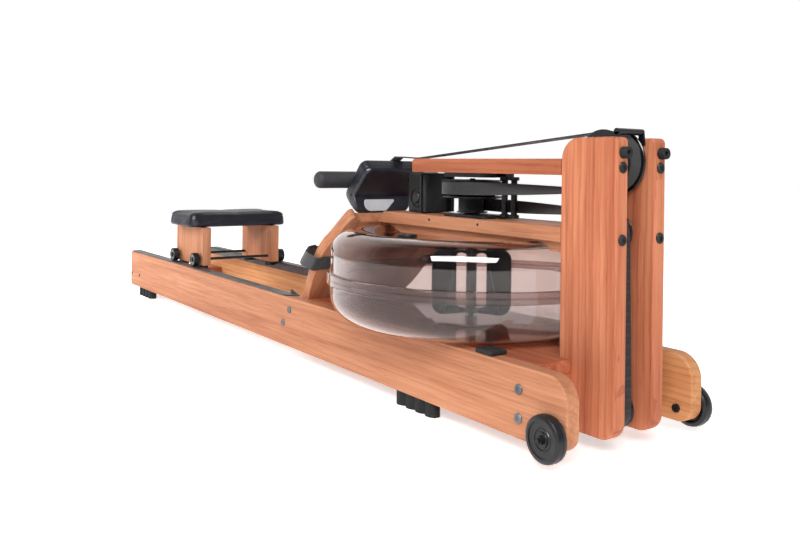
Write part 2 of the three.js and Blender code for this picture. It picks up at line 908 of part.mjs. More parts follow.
// Lower half: a bowl with a foot ring below and a cup for the shaft's foot inside
function tankLowerGeometry() {
  const floor = tankBottom + tankWall;
  const footBottom = railTop + seatGap;
  const cupInner = shaftRadius + runningGap;
  const cupOuter = cupInner + bearingWall;
  const cupTop = floor + bearingHeight;
  const rim = tankSeam - seatGap / 2;
  return revolvedAboutZ(
    [
      [0, tankBottom],
      [tankFootInner, tankBottom],
      [tankFootInner, footBottom],
      [tankFootOuter, footBottom],
      [tankFootOuter, tankBottom],
      ...lowerOuterPoints(0),
      [tankRadius, rim],
      [tankRadius - tankWall, rim],
      ...lowerOuterPoints(tankWall).reverse(),
      [cupOuter, floor],
      [cupOuter, cupTop],
      [cupInner, cupTop],
      [cupInner, floor],
      [0, floor],
    ],
    tankSteps,
    tankCentreX,
    0,
  );
}

piece('tank_lower', tankLowerGeometry(), smoked);

const fillPlace = [
  tankCentreX + fillHoleOffset * Math.cos(fillHoleTurn),
  fillHoleOffset * Math.sin(fillHoleTurn),
];

// Upper half: shoulder, crest and dished top, with a belt that laps over the lower half
function tankUpperGeometry() {
  const rim = tankSeam + seatGap / 2;
  const beltInner = tankRadius + seatGap;
  const beltOuter = tankRadius + tankBeltProud;
  const shell = revolvedAboutZ(
    [
      [tankRadius - tankWall, rim],
      [beltInner, rim],
      [beltInner, tankBeltBottom],
      [beltOuter, tankBeltBottom],
      [beltOuter, tankBeltTop],
      [tankRadius, tankBeltTop],
      ...upperOuterPoints(0),
      [tankNeckRadius, tankDish],
      [tankNeckRadius, tankDish - tankWall],
      ...upperOuterPoints(tankWall).reverse(),
    ],
    tankSteps,
    tankCentreX,
    0,
  );
  return cut(shell, [
    rodAlongZ(
      fillHoleRadius,
      tankDish - tankWall - cutOverrun,
      tankDish + cutOverrun,
      fillPlace[0],
      fillPlace[1],
      roundSteps,
    ),
  ]);
}

piece('tank_upper', tankUpperGeometry(), smoked);

// Plug in the filling hole, through which the level of the water is set
function fillPlugGeometry() {
  const stem = fillHoleRadius - seatGap;
  const seat = tankDish + seatGap;
  return revolvedAboutZ(
    [
      [0, seat - plugHeight],
      [stem, seat - plugHeight],
      [stem, seat],
      [plugFlangeRadius, seat],
      [plugFlangeRadius, seat + plugFlangeHeight],
      [0, seat + plugFlangeHeight],
    ],
    roundSteps,
    fillPlace[0],
    fillPlace[1],
  );
}

piece('fill_plug', fillPlugGeometry(), blackPlastic);

// Brace under the deck, hollowed where it passes over the tank's crest
function deckBraceGeometry() {
  const brace = deckBoardGeometry(braceBottom, deckBottom - seatGap, braceHalfWidth, 0);
  const shoulder = upperOuterPoints(-seatGap);
  const tankEnvelope = revolvedAboutZ(
    [
      [0, braceBottom - cutOverrun],
      [tankRadius + seatGap, braceBottom - cutOverrun],
      [tankRadius + seatGap, shoulder[0][1]],
      ...shoulder.slice(1),
      [0, tankDish + seatGap],
    ],
    tankSteps,
    tankCentreX,
    0,
  );
  return cut(brace, [
    tankEnvelope,
    rodAlongZ(shaftRadius + bearingWall, braceBottom - cutOverrun, deckBottom + cutOverrun, tankCentreX, 0),
  ]);
}

piece('deck_brace', deckBraceGeometry(), innerWood);

// Foot of the paddle's shaft, in its cup
const shaftBottom = tankBottom + tankWall + seatGap;

// A blade that sweeps back towards its tip
function bladeGeometry(turn) {
  const near = [];
  const far = [];
  for (let i = 0; i <= bladeSteps; i += 1) {
    const share = i / bladeSteps;
    const radius = paddleHubRadius / 2 + (paddleRadius - paddleHubRadius / 2) * share;
    const sweep = bladeSweep * Math.sin(quarterTurn * share) * share;
    near.push([radius, sweep - bladeThickness / 2]);
    far.unshift([radius, sweep + bladeThickness / 2]);
  }
  const shape = new THREE.Shape([...near, ...far].map(([x, y]) => new THREE.Vector2(x, y)));
  return flatPlank(shape, paddleBottom, paddleTop).rotateZ(turn).translate(tankCentreX, 0, 0);
}

// Shaft and paddle, which turn in the tank
function paddleGeometry() {
  const pitch = fullTurn / paddleBlades;
  const blades = Array.from({ length: paddleBlades }, (_, i) => bladeGeometry(pitch * i));
  return fuse([
    rodAlongZ(shaftRadius, shaftBottom, shaftTop, tankCentreX, 0, roundSteps),
    rodAlongZ(paddleHubRadius, paddleBottom, paddleTop, tankCentreX, 0, roundSteps),
    rodAlongZ(paddleDiscRadius, paddleTop - paddleDiscThickness, paddleTop, tankCentreX, 0, roundSteps),
    ...blades,
  ]);
}

piece('paddle', paddleGeometry(), blackPlastic);

// Clutch drum for the drive strap, with the smaller recoil drum below it
function clutchDrumGeometry() {
  const half = strapWidth / 2 + drumStrapSlack;
  const bottom = recoilStrapHeight - half - drumFlangeThickness;
  const top = drumStrapHeight + half + drumFlangeThickness;
  return revolvedAboutZ(
    [
      [shaftRadius + runningGap, bottom],
      [recoilFlangeRadius, bottom],
      [recoilFlangeRadius, bottom + drumFlangeThickness],
      [recoilDrumRadius, bottom + drumFlangeThickness],
      [recoilDrumRadius, recoilStrapHeight + half],
      [drumFlangeRadius, recoilStrapHeight + half],
      [drumFlangeRadius, drumStrapHeight - half],
      [drumRadius, drumStrapHeight - half],
      [drumRadius, drumStrapHeight + half],
      [drumFlangeRadius, drumStrapHeight + half],
      [drumFlangeRadius, top],
      [shaftRadius + runningGap, top],
    ],
    wheelSteps,
    tankCentreX,
    0,
  );
}

piece('clutch_drum', clutchDrumGeometry(), blackPlastic);

// Pin of a pulley between the uprights
const pulleyPin = ([x, z]) => rodAlongY(pinRadius, -uprightInner - pinDepth, uprightInner + pinDepth, x, z);

// A strap pulley: rim with flanges, thin web and hub on a pin that turns in the uprights
function pulleyGeometry(place, rim, flange, width) {
  const half = width / 2;
  const web = half - pulleyWebInset;
  const lip = rim - pulleyFlangeThickness;
  const wheel = revolvedAboutY(
    [
      [0, -half],
      [pulleyHubRadius, -half],
      [pulleyHubRadius, -web],
      [lip, -web],
      [lip, -half],
      [flange, -half],
      [flange, pulleyFlangeThickness - half],
      [rim, pulleyFlangeThickness - half],
      [rim, half - pulleyFlangeThickness],
      [flange, half - pulleyFlangeThickness],
      [flange, half],
      [lip, half],
      [lip, web],
      [pulleyHubRadius, web],
      [pulleyHubRadius, half],
      [0, half],
    ],
    wheelSteps,
    ...place,
  );
  return fuse([wheel, pulleyPin(place)]);
}

piece(
  'top_pulley',
  pulleyGeometry(pulleyPins[0], topPulleyRadius, topPulleyFlangeRadius, topPulleyWidth),
  blackPlastic,
);
piece(
  'recoil_pulley_upper',
  pulleyGeometry(pulleyPins[1], recoilPulleyRadius, recoilPulleyFlangeRadius, recoilPulleyWidth),
  blackPlastic,
);

piece(
  'recoil_pulley_lower',
  pulleyGeometry(pulleyPins[2], recoilPulleyRadius, recoilPulleyFlangeRadius, recoilPulleyWidth),
  blackPlastic,
);

// Return pulley under the tank, with a groove for the round cord
const returnGroove = returnPulleyRadius - 2 * bungeeRadius - seatGap;
const cordWrapRadius = returnGroove + seatGap + bungeeRadius;
const beltLow = lowerPulleyHeight - recoilPulleyRadius - seatGap - strapThickness / 2;
const returnPulleyHeight = beltLow + cordWrapRadius;

function returnPulleyGeometry() {
  const half = returnPulleyWidth / 2;
  const floor = half - pulleyFlangeThickness;
  const wheel = revolvedAboutY(
    [
      [0, -half],
      [returnPulleyRadius, -half],
      [returnGroove, -floor],
      [returnGroove, floor],
      [returnPulleyRadius, half],
      [0, half],
    ],
    roundSteps,
    returnPulleyX,
    returnPulleyHeight,
  );
  const pin = rodAlongY(pinRadius, -returnPinReach, returnPinReach, returnPulleyX, returnPulleyHeight);
  return fuse([wheel, pin]);
}

piece('return_pulley', returnPulleyGeometry(), blackPlastic);

// Bracket under the board that carries the return pulley between two ears
function returnBracketGeometry() {
  const ceiling = railTop - baseBoardThickness - seatGap;
  const inner = returnPulleyWidth / 2 + 2 * runningGap;
  const outer = inner + earThickness;
  const ear = (side) =>
    sidePlank(
      filletedShape([
        [returnPulleyX - earHalfWidth, returnPulleyHeight - earHalfWidth, earHalfWidth / 2],
        [returnPulleyX + earHalfWidth, returnPulleyHeight - earHalfWidth, earHalfWidth / 2],
        [returnPulleyX + earHalfWidth, ceiling, 0],
        [returnPulleyX - earHalfWidth, ceiling, 0],
      ]),
      ...sorted(side * inner, side * outer),
    );
  const reach = 2 * earHalfWidth;
  const end = outer + cutOverrun;
  return cut(
    fuse([
      block(returnPulleyX - reach, returnPulleyX + reach, -outer, outer, ceiling - earThickness, ceiling),
      ear(-1),
      ear(1),
    ]),
    [rodAlongY(boreRadius(pinRadius), -end, end, returnPulleyX, returnPulleyHeight)],
  );
}

piece('return_bracket', returnBracketGeometry(), blackMetal);

// Keeper over the pulley: a rod between the uprights with a flat leg down the inner face of each
function strapGuardGeometry() {
  const outer = uprightInner - seatGap;
  const leg = (side) => {
    const outline = filletedShape([
      [guardX - guardRadius, guardHeight, 0],
      [guardFootX - guardLegWidth / 2, guardFootHeight, guardLegWidth / 4],
      [guardFootX + guardLegWidth / 2, guardFootHeight, guardLegWidth / 4],
      [guardX + guardRadius, guardHeight, 0],
    ]);
    return sidePlank(outline, ...sorted(side * (outer - guardLegThickness), side * outer));
  };
  return fuse([rodAlongY(guardRadius, -outer, outer, guardX, guardHeight, roundSteps), leg(-1), leg(1)]);
}

piece('strap_guard', strapGuardGeometry(), blackPlastic);

// Directions and places that the straps share
const up = new THREE.Vector3(0, 0, 1);
const down = new THREE.Vector3(0, 0, -1);
const sideways = new THREE.Vector3(0, 1, 0);

const strapRun = seatGap + strapThickness / 2;
const barEndPlace = new THREE.Vector2(topBarStart + topBarEndRadius, topBarTop + strapRun);
const topWrapRadius = topPulleyRadius + strapRun;

// Stations round a pulley whose pin runs along Y, between two turns from +X towards +Z
function wrapAboutY(x, z, seatRadius, from, to, steps) {
  const radius = seatRadius / Math.cos((to - from) / steps / 2);
  return Array.from({ length: steps + 1 }, (_, i) => {
    const turn = from + ((to - from) * i) / steps;
    const out = new THREE.Vector3(Math.cos(turn), 0, Math.sin(turn));
    return { place: new THREE.Vector3(x, 0, z).addScaledVector(out, radius), across: sideways, out };
  });
}

// Stations round the drum, whose shaft runs along Z
function wrapAboutZ(seatRadius, height, from, to, steps) {
  const radius = seatRadius / Math.cos((to - from) / steps / 2);
  return Array.from({ length: steps + 1 }, (_, i) => {
    const turn = from + ((to - from) * i) / steps;
    const out = new THREE.Vector3(Math.cos(turn), Math.sin(turn), 0);
    const place = new THREE.Vector3(tankCentreX, 0, height).addScaledVector(out, radius);
    return { place, across: down, out };
  });
}

// A straight run that turns a quarter between two stations
function twistBetween(start, end, steps) {
  const run = end.place.clone().sub(start.place);
  const axis = run.clone().normalize();
  const turn = (from, share, target) => {
    const angle = Math.atan2(axis.dot(from.clone().cross(target)), from.dot(target));
    return from.clone().applyAxisAngle(axis, angle * share);
  };
  return Array.from({ length: steps - 1 }, (_, i) => {
    const share = (i + 1) / steps;
    return {
      place: start.place.clone().addScaledVector(run, share),
      across: turn(start.across, share, end.across),
      out: turn(start.out, share, end.out),
    };
  });
}

// Drive strap: from the bar's end over the top pulley, a quarter turn on the way, and round the drum
function driveStrapGeometry() {
  const toPulley = new THREE.Vector2(topPulleyX, topPulleyHeight).sub(barEndPlace);
  const slope = Math.atan2(toPulley.y, toPulley.x) + Math.asin(topWrapRadius / toPulley.length());
  const lifted = new THREE.Vector3(-Math.sin(slope), 0, Math.cos(slope));
  const start = { place: new THREE.Vector3(barEndPlace.x, 0, barEndPlace.y), across: sideways, out: lifted };
  const wrap = wrapAboutY(
    topPulleyX,
    topPulleyHeight,
    topWrapRadius,
    slope + quarterTurn,
    -quarterTurn,
    strapWrapSteps,
  );
  const drumWrapRadius = drumRadius + strapRun;
  const leave = Math.acos(drumWrapRadius / (topPulleyX - tankCentreX));
  const onDrum = wrapAboutZ(drumWrapRadius, drumStrapHeight, -leave, -leave - drumWrapTurn, strapWrapSteps);
  const bottom = wrap.at(-1);
  const twist = twistBetween(bottom, onDrum[0], strapTwistSteps);
  return band([start, ...wrap, ...twist, ...onDrum], strapWidth, strapThickness);
}

piece('drive_strap', driveStrapGeometry(), webbing);

const recoilPin = pulleyPins[1];
const recoilWrapRadius = recoilPulleyRadius + strapRun;

// Recoil belt: from its clamp forward under the tank, up over both pulleys, and round the small drum
function recoilBeltGeometry() {
  const end = {
    place: new THREE.Vector3(clampX + seatGap, 0, beltLow),
    across: sideways,
    out: down,
  };
  const half = strapWrapSteps / 2;
  const low = wrapAboutY(...pulleyPins[2], recoilWrapRadius, -quarterTurn, 0, half);
  const high = wrapAboutY(...recoilPin, recoilWrapRadius, 0, quarterTurn, half);
  const drumWrapRadius = recoilDrumRadius + strapRun;
  const leave = Math.acos(drumWrapRadius / (recoilPin[0] - tankCentreX));
  const onDrum = wrapAboutZ(drumWrapRadius, recoilStrapHeight, leave, leave + drumWrapTurn, strapWrapSteps);
  const twist = twistBetween(high.at(-1), onDrum[0], strapTwistSteps);
  return band([end, ...low, ...high, ...twist, ...onDrum], strapWidth, strapThickness);
}

piece('recoil_belt', recoilBeltGeometry(), webbing);

// Elastic cord: a clamp at the belt's end, back round the return pulley and forward to the middle spacer
function bungeeGeometry() {
  const arc = [];
  for (let i = 0; i <= bungeeSteps; i += 1) {
    const turn = -quarterTurn - (Math.PI * i) / bungeeSteps;
    arc.push(new THREE.Vector3(
      returnPulleyX + cordWrapRadius * Math.cos(turn),
      0,
      returnPulleyHeight + cordWrapRadius * Math.sin(turn),
    ));
  }
  const points = [
    new THREE.Vector3(clampX - clampLength + seatGap, 0, beltLow),
    ...arc,
    new THREE.Vector3(frontSpacerRear - seatGap, 0, returnPulleyHeight + cordWrapRadius),
  ];
  const half = strapWidth / 2;
  const deep = clampDepth / 2;
  return fuse([
    roundCord(points, bungeeRadius, bungeeSides),
    block(clampX - clampLength, clampX, -half, half, beltLow - deep, beltLow + deep),
  ]);
}

piece('bungee_cord', bungeeGeometry(), blackRubber);

// A round cord through points in the plane Y = 0
function roundCord(points, radius, sides) {
  const stations = points.map((point, i) => {
    const before = points[Math.max(i - 1, 0)];
    const after = points[Math.min(i + 1, points.length - 1)];
    const along = after.clone().sub(before).normalize();
    return { place: point, out: along.clone().cross(sideways).normalize() };
  });
  const coordinates = [];
  for (const { place, out } of stations) {
    for (let k = 0; k < sides; k += 1) {
      const turn = (fullTurn * k) / sides;
      const point = place.clone();
      point.addScaledVector(sideways, radius * Math.cos(turn));
      point.addScaledVector(out, radius * Math.sin(turn));
      coordinates.push(point.x, point.y, point.z);
    }
  }
  const index = [];
  for (let i = 0; i + 1 < stations.length; i += 1) {
    for (let k = 0; k < sides; k += 1) {
      const a = i * sides + k;
      const b = i * sides + ((k + 1) % sides);
      index.push(a, b, b + sides, a, b + sides, a + sides);
    }
  }
  const last = (stations.length - 1) * sides;
  for (let k = 1; k + 1 < sides; k += 1) index.push(0, k + 1, k, last, last + k, last + k + 1);
  const geometry = new THREE.BufferGeometry();
  geometry.setAttribute('position', new THREE.Float32BufferAttribute(coordinates, 3));
  geometry.setIndex(index);
  return closedShell(geometry);
}

// Bracket on the deck: two plates, a collar in the deck for the shaft, a rear web, guide posts for the
// belts and a small reel housing
function driveBracketGeometry() {
  const floor = deckTop + seatGap;
  const ceiling = topBarBottom - seatGap;
  const lowPlateTop = floor + bracketPlate;
  const lastPost = guidePostX.at(-1) + 2 * guidePostRadius;
  const parts = [
    block(bracketStart, bracketEnd, -bracketHalfWidth, bracketHalfWidth, floor, lowPlateTop),
    block(bracketStart, bracketEnd, -bracketHalfWidth, bracketHalfWidth, ceiling - bracketTopPlate, ceiling),
    block(bracketStart, bracketStart + bracketWeb, -bracketHalfWidth, bracketHalfWidth, floor, ceiling),
    block(
      bracketEnd - woodBevel,
      lastPost,
      -2 * guidePostRadius,
      2 * guidePostRadius,
      floor,
      lowPlateTop,
    ),
    block(
      bracketEnd - woodBevel,
      lastPost,
      -2 * guidePostRadius,
      2 * guidePostRadius,
      ceiling - bracketTopPlate,
      ceiling,
    ),
    ...guidePostX.map((x) => rodAlongZ(guidePostRadius, floor, ceiling, x, 0)),
    block(reelBoxStart, bracketStart + bracketWeb, -reelBoxHalfWidth, reelBoxHalfWidth, floor, ceiling),
    rodAlongY(reelRadius, -reelHalfWidth, reelHalfWidth, reelX, reelHeight, roundSteps),
    rodAlongZ(bearingRadius, deckBottom, floor + bracketPlate / 2, tankCentreX, 0, roundSteps),
  ];
  const low = deckBottom - cutOverrun;
  return cut(fuse(parts), [
    rodAlongZ(shaftRadius + runningGap, low, ceiling + cutOverrun, tankCentreX, 0, roundSteps),
  ]);
}

piece('drive_bracket', driveBracketGeometry(), blackMetal);

// The inclined frame of the footboard: local X is -Y of the machine, local Y runs up the board

const incline = new THREE.Group();
incline.quaternion.setFromRotationMatrix(
  new THREE.Matrix4().makeBasis(
    new THREE.Vector3(0, -1, 0),
    new THREE.Vector3(footboardDirection.x, 0, footboardDirection.y),
    new THREE.Vector3(-footboardDirection.y, 0, footboardDirection.x),
  ),
);
incline.position.set(footboardRailX, 0, railTop);
machine.add(incline);

// Foot place outline: straight between the rails, then bellied out over them and drawn in at the top
function footboardGeometry() {
  const rise = footboardTop - footboardWiden;
  const belly = footboardWaist - betweenRails;
  const at = ([out, along]) => [betweenRails + belly * out, footboardWiden + rise * along];
  const shape = new THREE.Shape();
  const [lowShare, waistShare] = footboardBendShares;
  const [lowBend, waistLow, waistHigh, shoulder] = footboardShares.map(at);
  const bendStart = [lowBend[0] + belly * lowShare, lowBend[1] - footboardWiden];
  const bendEnd = [waistLow[0] + belly * waistShare, waistLow[1]];
  const round = footboardCornerRadius;
  const cornerStart = [footboardTopHalfWidth + round, footboardTop - round / 2];
  const corner = [footboardTopHalfWidth + round / 2, footboardTop];
  const left = ([x, y]) => [-x, y];
  shape.moveTo(-betweenRails, footboardLow);
  shape.lineTo(betweenRails, footboardLow);
  shape.lineTo(betweenRails, footboardWiden);
  shape.bezierCurveTo(...bendStart, ...bendEnd, ...waistHigh);
  shape.quadraticCurveTo(...shoulder, ...cornerStart);
  shape.quadraticCurveTo(...corner, footboardTopHalfWidth, footboardTop);
  shape.lineTo(-footboardTopHalfWidth, footboardTop);
  shape.quadraticCurveTo(...left(corner), ...left(cornerStart));
  shape.quadraticCurveTo(...left(shoulder), ...left(waistHigh));
  shape.bezierCurveTo(...left(bendEnd), ...left(bendStart), -betweenRails, footboardWiden);
  shape.closePath();
  const board = flatPlank(shape, -footboardThickness, 0, woodBevel);
  const slot = (side) => {
    const middle = side * footStrapInner;
    const wide = footStrapThickness + 2 * seatGap;
    const half = footStrapWidth / 2 + seatGap;
    return block(
      middle - wide / 2,
      middle + wide / 2,
      footStrapPlace - half,
      footStrapPlace + half,
      -footboardThickness - cutOverrun,
      cutOverrun,
    );
  };
  return cut(board, [slot(-1), slot(1)]);
}

piece('footboard', footboardGeometry(), railWood, incline);

// Straps over the feet: from a tuck under the board, round its side, over the foot and into a slot
function footStrapGeometry(side) {
  const half = footStrapThickness / 2;
  const under = -footboardThickness - seatGap - half;
  const edge = footboardWaist + footStrapSide + half;
  const route = new THREE.CatmullRomCurve3(
    [
      [edge - footStrapTuck, under],
      [edge - footStrapTuck / 2, under],
      [edge - half, under - half],
      [edge + 3 * half, under / 2],
      ...footStrapShares.map(([out, rise]) => [edge * out, footStrapRise * rise]),
      [footStrapInner, footStrapRise * footStrapDipShare],
      [footStrapInner, 0],
      [footStrapInner, -footboardThickness],
    ].map(([x, z]) => new THREE.Vector3(x, footStrapPlace, z)),
  );
  const along = new THREE.Vector3(0, 1, 0);
  const stations = Array.from({ length: footStrapSteps + 1 }, (_, i) => {
    const share = i / footStrapSteps;
    const place = route.getPoint(share);
    const out = along.clone().cross(route.getTangent(share)).normalize();
    return { place, across: along, out };
  });
  const strap = band(stations, footStrapWidth, footStrapThickness);
  return side > 0 ? strap : closedShell(strap.scale(-1, 1, 1));
}

piece('foot_strap_right', footStrapGeometry(1), webbing, incline);
piece('foot_strap_left', footStrapGeometry(-1), webbing, incline);

// Heel rests: a plate that slides on the board, with a round cup for the heel
function heelRestGeometry(side) {
  const left = side * heelCentre - heelWidth / 2;
  const right = left + heelWidth;
  const plate = flatPlank(
    rectangle(left, right, heelStart, heelStart + heelLength, heelCornerRadius),
    seatGap,
    seatGap + heelPlate,
  );
  const outer = new THREE.Shape();
  const bottom = heelStart + heelCornerRadius;
  outer.moveTo(left, bottom + heelCupLength);
  outer.bezierCurveTo(left, heelStart, right, heelStart, right, bottom + heelCupLength);
  outer.lineTo(right - heelCupWall, bottom + heelCupLength);
  outer.bezierCurveTo(
    right - heelCupWall,
    heelStart + heelCupDrawn,
    left + heelCupWall,
    heelStart + heelCupDrawn,
    left + heelCupWall,
    bottom + heelCupLength,
  );
  outer.closePath();
  return fuse([plate, flatPlank(outer, seatGap, seatGap + heelCupHeight)]);
}

piece('heel_rest_right', heelRestGeometry(1), blackPlastic, incline);
piece('heel_rest_left', heelRestGeometry(-1), blackPlastic, incline);

// Monitor: depths of its front face and of the joint between its shells, and its outline
const monitorFront = monitorBack + monitorThickness;
const monitorPart = monitorBack + monitorSplit;
const monitorOutline = (inset) =>
  rectangle(
    monitorOffset - monitorWidth / 2 + inset,
    monitorOffset + monitorWidth / 2 - inset,
    monitorMiddle - monitorHeight / 2 + inset,
    monitorMiddle + monitorHeight / 2 - inset,
    monitorRadius - inset,
  );

// Rear shell with the bracket that holds it on the footboard
function monitorBackGeometry() {
  const body = flatPlank(monitorOutline(0), monitorBack, monitorPart - seatGap, 3 * plasticBevel);
  const hollow = flatPlank(
    monitorOutline(monitorWall + plasticBevel),
    monitorBack + monitorWall,
    monitorPart + cutOverrun,
  );
  const arm = flatPlank(
    rectangle(
      monitorOffset - bracketArmWidth / 2,
      monitorOffset + bracketArmWidth / 2,
      bracketArmStart,
      bracketArmStart + bracketArmLength,
      2 * plasticBevel,
    ),
    seatGap,
    monitorBack + monitorWall / 2,
    plasticBevel,
  );
  return fuse([cut(body, [hollow]), arm]);
}

// Places of the window and the buttons
const windowMiddle = monitorMiddle + screenPlace;
const buttonCentres = Array.from({ length: buttonCount }, (_, i) => [
  monitorOffset + (i - (buttonCount - 1) / 2) * buttonPitch,
  monitorMiddle + buttonPlace,
]);

const screenOutline = (grow) =>
  rectangle(
    monitorOffset - screenWidth / 2 - grow,
    monitorOffset + screenWidth / 2 + grow,
    windowMiddle - screenHeight / 2 - grow,
    windowMiddle + screenHeight / 2 + grow,
    screenFrame,
  );

// Hooks on the monitor's face that the handle rests against
function hookGeometry(offset) {
  const seat = handleAlong + gripRadius + seatGap;
  const shape = filletedShape([
    [seat, monitorFront - monitorWall, 0],
    [seat + hookDepth, monitorFront - monitorWall, 0],
    [seat + hookDepth, monitorFront + hookReach, hookRound],
    [seat - hookDepth, monitorFront + hookReach + hookDepth, hookRound],
    [seat - hookDepth, monitorFront + hookReach + hookDepth / 3, hookRound],
    [seat, monitorFront + hookReach - hookDepth / 3, hookRound],
  ]);
  return extruded(shape, hookThickness)
    .applyMatrix4(
      new THREE.Matrix4().makeBasis(
        new THREE.Vector3(0, 1, 0),
        new THREE.Vector3(0, 0, 1),
        new THREE.Vector3(1, 0, 0),
      ),
    )
    .translate(offset - hookThickness / 2, 0, 0);
}

// The handle's place in the inclined frame
const handleFromBoard = new THREE.Vector2(handleX - footboardRailX, handleHeight - railTop);
const handleAlong = handleFromBoard.dot(footboardDirection);

// Front shell with its window, the buttons' holes and the hooks
function monitorFrontGeometry() {
  const body = flatPlank(monitorOutline(0), monitorPart, monitorFront, 3 * plasticBevel);
  const hollow = flatPlank(
    monitorOutline(monitorWall + plasticBevel),
    monitorPart - cutOverrun,
    monitorFront - monitorWall - screenThickness,
  );
  const window = flatPlank(screenOutline(-screenFrame), monitorPart, monitorFront + cutOverrun);
  const rebate = flatPlank(screenOutline(seatGap), monitorPart, monitorFront - monitorWall);
  const buttonHoles = buttonCentres.map(([x, y]) =>
    rodAlongZ(buttonRadius + seatGap, monitorPart, monitorFront + cutOverrun, x, y, roundSteps),
  );
  return fuse([
    cut(body, [hollow, window, rebate, ...buttonHoles]),
    hookGeometry(monitorOffset - hookSpread),
    hookGeometry(monitorOffset + hookSpread),
  ]);
}

piece('monitor_back', monitorBackGeometry(), blackPlastic, incline);
piece('monitor_front', monitorFrontGeometry(), blackPlastic, incline);
piece(
  'monitor_screen',
  flatPlank(
    screenOutline(0),
    monitorFront - monitorWall - seatGap - screenThickness,
    monitorFront - monitorWall - seatGap,
  ),
  screenGlass,
  incline,
);
buttonCentres.forEach(([x, y], i) => {
  const top = monitorFront + buttonProud;
  piece(
    `monitor_button_${i + 1}`,
    rodAlongZ(buttonRadius, top - buttonHeight - buttonTravel, top, x, y, roundSteps),
    blackRubber,
    incline,
  );
});

// Handle: a bar that shows in the middle, where the strap loops round it, with a foam grip at each side
function handleGeometry() {
  const half = [
    [handleCoreRadius, gripInner],
    [gripRadius - plasticBevel, gripInner],
    [gripRadius, gripInner + plasticBevel],
    [gripRadius, handleHalfLength - gripEndRadius],
    [gripRadius - gripEndRadius * endRoundShare, handleHalfLength - gripEndRadius * endRoundShare],
    [gripRadius - gripEndRadius, handleHalfLength],
    [0, handleHalfLength],
  ];
  const otherHalf = half.map(([radius, along]) => [radius, -along]).reverse();
  return revolvedAboutY([...otherHalf, ...half], gripSteps, handleX, handleHeight);
}

piece('handle', handleGeometry(), foam);

// Free end of the strap: over the monitor's top edge and down to a loop round the handle's bar
function handleStrapGeometry() {
  const loopRadius = handleCoreRadius + strapRun;
  const overMonitor = inclinedPoint(monitorMiddle + monitorHeight / 2, monitorFront);
  const crest = new THREE.Vector2(overMonitor.x, overMonitor.z + 3 * strapRun);
  const handle = new THREE.Vector2(handleX, handleHeight);
  const toHandle = handle.clone().sub(crest);
  const slope = Math.atan2(toHandle.y, toHandle.x) - Math.asin(loopRadius / toHandle.length());
  const arrive = slope - quarterTurn;
  const start = new THREE.Vector3(barEndPlace.x - seatGap - strapThickness, 0, barEndPlace.y);
  const leave = arrive + fullTurn * loopShare;
  const loop = wrapAboutY(handleX, handleHeight, loopRadius, arrive, leave, strapWrapSteps);
  const middle = new THREE.Vector3(crest.x, 0, crest.y);
  const crestOut = up.clone().add(loop[0].out).normalize();
  const stations = [
    { place: start, across: sideways, out: up },
    { place: middle, across: sideways, out: crestOut },
    ...loop,
  ];
  return band(stations, strapWidth, strapThickness);
}

// A place in the inclined frame, as a place in the machine
function inclinedPoint(along, standOff) {
  return new THREE.Vector3(
    footboardRailX + along * footboardDirection.x - standOff * footboardDirection.y,
    0,
    railTop + along * footboardDirection.y + standOff * footboardDirection.x,
  );
}

piece('handle_strap', handleStrapGeometry(), webbing);

// Tracks on the rails for the seat's wheels: a flat top, a skirt inside the rail and a stop tab
function trackGeometry(side) {
  const outer = railHalfSpan - trackOuterInset;
  const inner = railInner - seatGap - trackThickness;
  const bottom = railTop + seatGap;
  const topShape = new THREE.Shape();
  topShape.moveTo(trackStart, side * outer);
  topShape.lineTo(trackEnd, side * outer);
  topShape.lineTo(trackTip, side * (inner + trackThickness));
  topShape.lineTo(trackTip, side * inner);
  topShape.lineTo(trackStart, side * inner);
  topShape.closePath();
  const faces = sorted(side * inner, side * (inner + trackThickness));
  const skirt = block(trackStart, trackEnd, ...faces, railTop - trackSkirt, bottom + trackThickness);
  const tab = sidePlank(
    filletedShape([
      [trackTip - trackTabLength, bottom, 0],
      [trackTip, bottom, 0],
      [trackTip, bottom + trackThickness, 0],
      [trackTip - trackTabLength, bottom + trackThickness + trackTabHeight, 0],
    ]),
    faces[0],
    faces[1],
  );
  return fuse([flatPlank(topShape, bottom, trackTop), skirt, tab]);
}

piece('track_right', trackGeometry(-1), blackPlastic);
piece('track_left', trackGeometry(1), blackPlastic);

// Places of the seat's axles and of the glide knobs under its blocks
const axlePlaces = [seatMiddleX - axleSpacing / 2, seatMiddleX + axleSpacing / 2];
const axleHeight = trackTop + seatGap + seatWheelRadius;
const knobCentre = railInner - seatGap - trackThickness - 2 * seatGap - knobRadius;
const knobPlaces = axlePlaces.map((x) => x - (Math.sign(x - seatMiddleX) * knobRadius) / 2);

// Side block of the seat, with its knobs
function seatBlockGeometry(side) {
  const outline = rectangle(
    seatMiddleX - seatBlockLength / 2,
    seatMiddleX + seatBlockLength / 2,
    seatBlockBottom,
    seatBlockTop,
    seatBlockRadius,
  );
  const outerFace = seatBlockInner + seatBlockThickness;
  const faces = sorted(side * seatBlockInner, side * outerFace);
  const holed = cut(
    sidePlank(outline, ...faces, woodBevel),
    axlePlaces.map((x) =>
      rodAlongY(axleRadius + seatGap, faces[0] - cutOverrun, faces[1] + cutOverrun, x, axleHeight),
    ),
  );
  return fuse([holed, ...knobPlaces.map((x) => knobGeometry(x, side * knobCentre))]);
}

